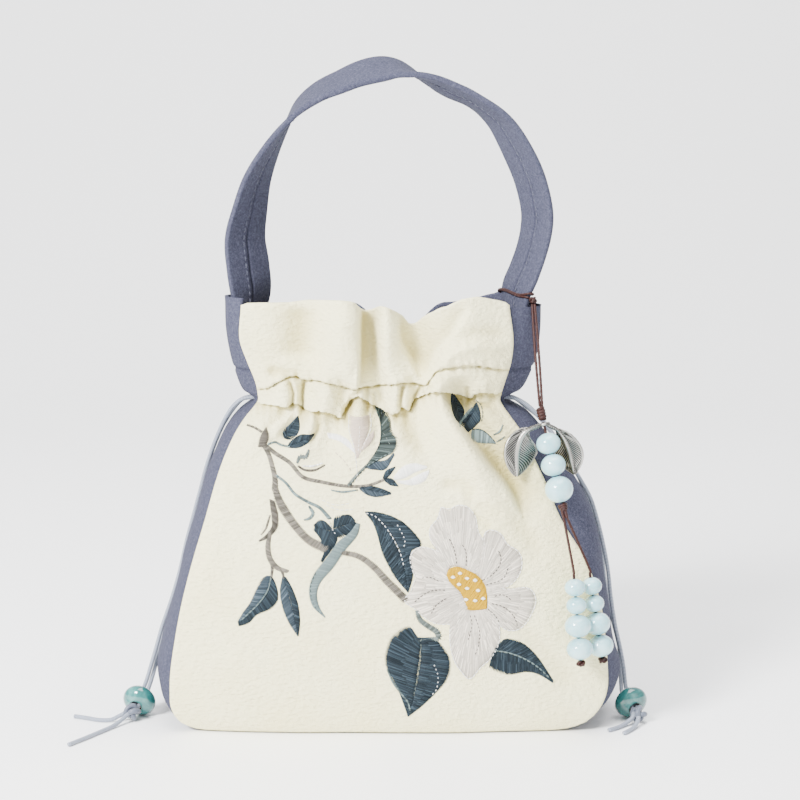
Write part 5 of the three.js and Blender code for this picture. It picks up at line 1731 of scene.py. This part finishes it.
knot_low, knot_high = node_box("charm_hitch_knot")
hitch_knot_at = (knot_low + knot_high) / 2
knot = overhand(hitch_knot_at, route["knot"] - hitch_knot_at, ring=0.85, swing=0.55, radius=0.6, tall=1.8)
threads["charm_hitch_knot"] = add_mesh("thread_hitch_knot", *knot)
for side, shift in (("left", -0.75), ("right", 0.75)):
    beside_it = np.array([shift * 0.75, 0, 0])
    path = straight(towards(hitch_knot_at, route["knot"], 1.8) + beside_it,
                    towards(route["knot"], hitch_knot_at, 3.2) + beside_it)
    path[:, 0] += np.sin(np.linspace(0, np.pi, len(path))) * shift * 0.35
    threads[f"charm_drop_{side}"] = add_mesh(f"thread_drop_{side}", *twisted_data(path, THREAD / 2))
through = straight(towards(route["knot"], hitch_knot_at, 3.4), towards(route["knot"], route["split"], 3.4))
barrel = wound(route["knot"], down, lengthways=5.6, turns=4.2, wide=1.35, narrow=1.35, radius=0.82)
threads["charm_knot"] = add_mesh("thread_barrel_knot", *joined([barrel, twisted_data(through, 0.9)]))
core_to = towards(core_from, route["split"], ends["charm_top"] + 0.1)
core = straight(core_from, core_to)
threads["charm_core"] = add_mesh("thread_core", *twisted_data(core, THREAD / 2))
whipped = towards(core_from, route["split"], ends["charm_top"] + CLEAR + WHIPPING_LENGTH / 2)
bound = towards(whipped, route["knot"], 2.1)
parts = [wound(bound, down, lengthways=2.6, turns=2.6, wide=1.75, narrow=1.3, radius=0.68)]
for aside in (-0.8, 0.8):
    low = towards(whipped, route["split"], 3.4) + np.array([aside * 0.9, -aside * 0.3, 0])
    parts.append(twisted_data(straight(bound + np.array([aside, 0, 0]), low), 0.75))
threads["charm_whipping"] = add_mesh("thread_whipping", *joined(parts))
for run, aside in (("front", -0.85), ("back", 0.85)):
    first = towards(whipped, route["split"], WHIPPING_LENGTH / 2) + np.array([aside, -0.3 * aside, 0])
    above, end = route[run], route[run + "_end"]
    stop = ends["charm_" + run]
    points = [first, towards(above, end, -4), above, towards(above, end, stop / 2),
              towards(above, end, stop)]
    fall = twisted_data(smooth_curve(points, 0.5), THREAD / 2)
    threads[f"charm_thread_{run}"] = add_mesh(f"thread_fall_{run}", *fall)
    low_end = towards(above, end, stop + END_KNOT_DROP)
    knot = overhand(low_end, end - above, ring=1.05, swing=0.6, radius=0.7, tall=1.3)
    threads[f"charm_end_knot_{run}"] = add_mesh(f"thread_end_knot_{run}", *knot)
print("threads and knots made")

# %% [markdown]
# The two leaves are cast in white metal on one eye. Each blade starts as a grid. A grid can't be bent
# to a curving rib by hand operators without a window, so its points are laid along the rib in code: the
# blade is cupped, the rib stands up, and fine grooves run obliquely from it. The map carries the grooves.

# %% Cast leaves
LEAF_RIBS = [
    ([(-2.2, -0.2, -0.1), (-9.1, -2.7, -3.1), (-12.4, -3.7, -10.9), (-12.9, -3.3, -23.4)],
     (0.42, -0.88, 0.2), 15.0, (1.25, 0.68)),
    ([(2.2, 0.2, -0.1), (7.6, 1.9, -3.9), (11.8, 2.1, -12.8), (14.9, 1.3, -23.4)], (-0.6, -0.78, 0.2),
     14.0, (0.75, 1.0)),
]
LEAF_WALL = 1.0
BLADE_START = 0.2
LEAF_ACROSS = 26
LEAF_ALONG = 130
LEAF_CUP = 0.16
LEAF_WAVE = 0.25
LEAF_GROOVE = 0.13
GROOVES = 150.0
GROOVE_SLANT = 66.0
RIB_HEIGHT = 0.9
EDGE_HEIGHT = 0.3
EYE_RADIUS = 2.1
EYE_THICKNESS = 0.75


def cast_leaf(name, rib, face, width, halves):
    bpy.ops.object.select_all(action="DESELECT")
    bpy.ops.mesh.primitive_grid_add(x_subdivisions=LEAF_ACROSS, y_subdivisions=LEAF_ALONG,
                                    size=2, calc_uvs=True)
    leaf = bpy.context.object
    leaf.name = name
    line = smooth_curve(np.array(rib) + eye, 0.2)
    look = np.array(face) / np.linalg.norm(face)
    lengths = np.linspace(0, 1, len(line))
    tangents = directions_along(line)
    for vertex in leaf.data.vertices:
        share, t = vertex.co.x, (vertex.co.y + 1) / 2
        middle = np.array([np.interp(t, lengths, line[:, k]) for k in range(3)])
        tangent = np.array([np.interp(t, lengths, tangents[:, k]) for k in range(3)])
        side = np.cross(tangent, look)
        side /= np.linalg.norm(side)
        open_share = min(max((t - BLADE_START) / (1 - BLADE_START), 0), 1)
        reach = width / 2 * (0.1 + 1.12 * math.sin(math.pi * min(open_share * 1.01, 1) ** 1.05) ** 0.75)
        reach *= halves[0] if share < 0 else halves[1]
        cup = LEAF_WAVE * math.sin(9 * t + 2 * share) - LEAF_CUP * reach * share**2
        groove = LEAF_GROOVE * math.sin(GROOVES * t - GROOVE_SLANT * abs(share) * reach / width)
        crest = RIB_HEIGHT * bell(share * reach / 0.55) + EDGE_HEIGHT * bell((1 - abs(share)) * reach / 0.5)
        out = cup + crest + groove * min(1, abs(share) * 5) * min(1, (1 - abs(share)) * 7)
        vertex.co = to_frame(middle + side * share * reach + look * out)[0]
    wall = leaf.modifiers.new("wall", "SOLIDIFY")
    wall.thickness = LEAF_WALL * MM
    wall.offset = 0
    apply_modifiers(leaf)
    bpy.ops.object.shade_smooth()
    return leaf


leaf_pair = [cast_leaf(f"cast_leaf_{k}", *values) for k, values in enumerate(LEAF_RIBS)]
bpy.ops.object.select_all(action="DESELECT")
bpy.ops.mesh.primitive_torus_add(major_radius=EYE_RADIUS * MM, minor_radius=EYE_THICKNESS * MM,
                                 major_segments=32, minor_segments=12)
ring = bpy.context.object
ring.name = "cast_eye_model"
placed_ring = placed_copy(ring, "cast_leaves", eye, down)
bpy.data.objects.remove(ring)
bpy.ops.object.shade_smooth()
choose(placed_ring)
for leaf in leaf_pair:
    leaf.select_set(True)
bpy.ops.object.join()
cast_leaves = bpy.context.object
print("faces of the leaves:", len(cast_leaves.data.polygons))


# %% Finishes of the beads, threads and leaves
def teal_glaze():
    g = Graph("teal celadon glaze", Roughness=0.1, Coat_Weight=0.6, Coat_Roughness=0.04)
    cloud = g.noise(170, 3.0, 0.6)
    pool = g.noise(60, 2.0)
    tone = g.ramp(cloud, (0.35, (0.012, 0.085, 0.082)), (0.55, (0.035, 0.165, 0.158)),
                  (0.75, (0.11, 0.33, 0.305)))
    body = g.mix(pool * 0.5, tone, (0.022, 0.12, 0.115))
    rim = g.attribute("rim", 2)
    return g.finish(cloud, 0.05, 0.0002, Base_Color=g.mix(rim * 0.85, body, (0.11, 0.06, 0.035)))


def pale_glaze():
    g = Graph("pale blue glaze", Roughness=0.12, Coat_Weight=0.5, Coat_Roughness=0.05,
              Subsurface_Weight=0.1)
    cloud = g.noise(150, 2.0, 0.5)
    tone = g.ramp(cloud, (0.3, (0.25, 0.50, 0.56)), (0.7, (0.42, 0.66, 0.70)))
    rim = g.attribute("rim", 2)
    return g.finish(cloud, 0.05, 0.0002, Base_Color=g.mix(rim * 0.6, tone, (0.10, 0.2, 0.22)))


def waxed_thread():
    g = Graph("waxed brown thread", Roughness=0.55, Specular_IOR_Level=0.3)
    fibre = g.noise(1900, 3.0, 0.6)
    colour = g.ramp(fibre, (0.3, (0.010, 0.002, 0.002)), (0.6, (0.032, 0.007, 0.005)),
                    (0.8, (0.08, 0.02, 0.014)))
    return g.finish(fibre, 0.35, 0.0002, Base_Color=colour)


def old_silver():
    g = Graph("darkened cast silver", Metallic=1.0, Roughness=0.34)
    u = g.node("ShaderNodeSeparateXYZ", {}, {0: g.uv}, 0)
    v = g.node("ShaderNodeSeparateXYZ", {}, {0: g.uv}, 1)
    aside = (u - 0.5).math("ABSOLUTE")
    wave = (v * GROOVES - aside * GROOVE_SLANT).math("SINE")
    blade = ((aside - 0.032) * 34.0).clamped()
    inside = ((0.47 - aside) * 30.0).clamped()
    groove = (wave * -1.3 + 1.3).clamped() * blade * inside
    patina = g.noise(420, 3.0, 0.6)
    bright = g.mix(patina * 0.5, (0.50, 0.48, 0.44), (0.20, 0.195, 0.18))
    colour = g.mix(groove * 0.92, bright, (0.016, 0.017, 0.018))
    return g.finish(patina, 0.2, 0.0002, Base_Color=colour, Roughness=patina * 0.2 + 0.25)


dress_all(teal_glaze(), cord_beads)
dress_all(pale_glaze(), pale_beads)
dress_all(waxed_thread(), threads)
dress_all(old_silver(), {"charm_leaves": cast_leaves})
dress_all(braid, cord_knots)
print("charm and beads dressed")

# %% [markdown]
# The bag stands on a plain pale table that rises softly behind it. One large soft lamp from the front
# left shapes the folds, a weaker one fills the right, and the sky's pale light does the rest.

# %% Stage and light
LAMPS = {
    # the place in metres, the size in metres and the power in watts
    "key": ((-0.95, -1.12, 1.02), (0.45, 0.45), 104),
    "fill": ((1.1, -1.2, 0.7), (1.2, 1.0), 6),
    "top": ((0.15, -0.1, 1.7), (1.4, 1.0), 44),
}
LAMP_AIM = Vector((0, 0, 0.13))
SKY_COLOUR = (0.97, 0.98, 1.0, 1)
SKY_STRENGTH = 0.84
BEND_START = 0.75
BEND_RADIUS = 0.9
BEND_STEPS = 24
SWEEP_END = 3.0


def add_sweep():
    """The table and the wall behind it in one bent sheet, so that no line shows between them."""
    turn = [(BEND_START + BEND_RADIUS * math.sin(a), BEND_RADIUS * (1 - math.cos(a)))
            for a in np.linspace(0, math.pi / 2, BEND_STEPS)]
    profile = [(-SWEEP_END, 0.0), *turn, (BEND_START + BEND_RADIUS, SWEEP_END)]
    points = [(x, y, z) for y, z in profile for x in (-SWEEP_END, SWEEP_END)]
    faces = [(2 * k, 2 * k + 1, 2 * k + 3, 2 * k + 2) for k in range(len(profile) - 1)]
    mesh = bpy.data.meshes.new("table_and_wall")
    mesh.from_pydata(points, [], faces)
    mesh.polygons.foreach_set("use_smooth", [True] * len(faces))
    sweep = bpy.data.objects.new("table_and_wall", mesh)
    bpy.context.scene.collection.objects.link(sweep)
    g = Graph("pale table", Roughness=0.55)
    g.shader.inputs["Base Color"].default_value = opaque((1.0, 1.0, 1.0))
    mesh.materials.append(g.material)


def add_lamp(name, place, size, power):
    lamp = bpy.data.lights.new(name, "AREA")
    lamp.shape = "RECTANGLE"
    lamp.size, lamp.size_y = size
    lamp.energy = power
    holder = bpy.data.objects.new(name, lamp)
    bpy.context.scene.collection.objects.link(holder)
    holder.location = place
    holder.rotation_euler = (LAMP_AIM - Vector(place)).to_track_quat("-Z", "Y").to_euler()


add_sweep()
for name, values in LAMPS.items():
    add_lamp(name, *values)
world = bpy.data.worlds.new("pale room")
world.use_nodes = True
world.node_tree.nodes["Background"].inputs["Color"].default_value = SKY_COLOUR
world.node_tree.nodes["Background"].inputs["Strength"].default_value = SKY_STRENGTH
bpy.context.scene.world = world
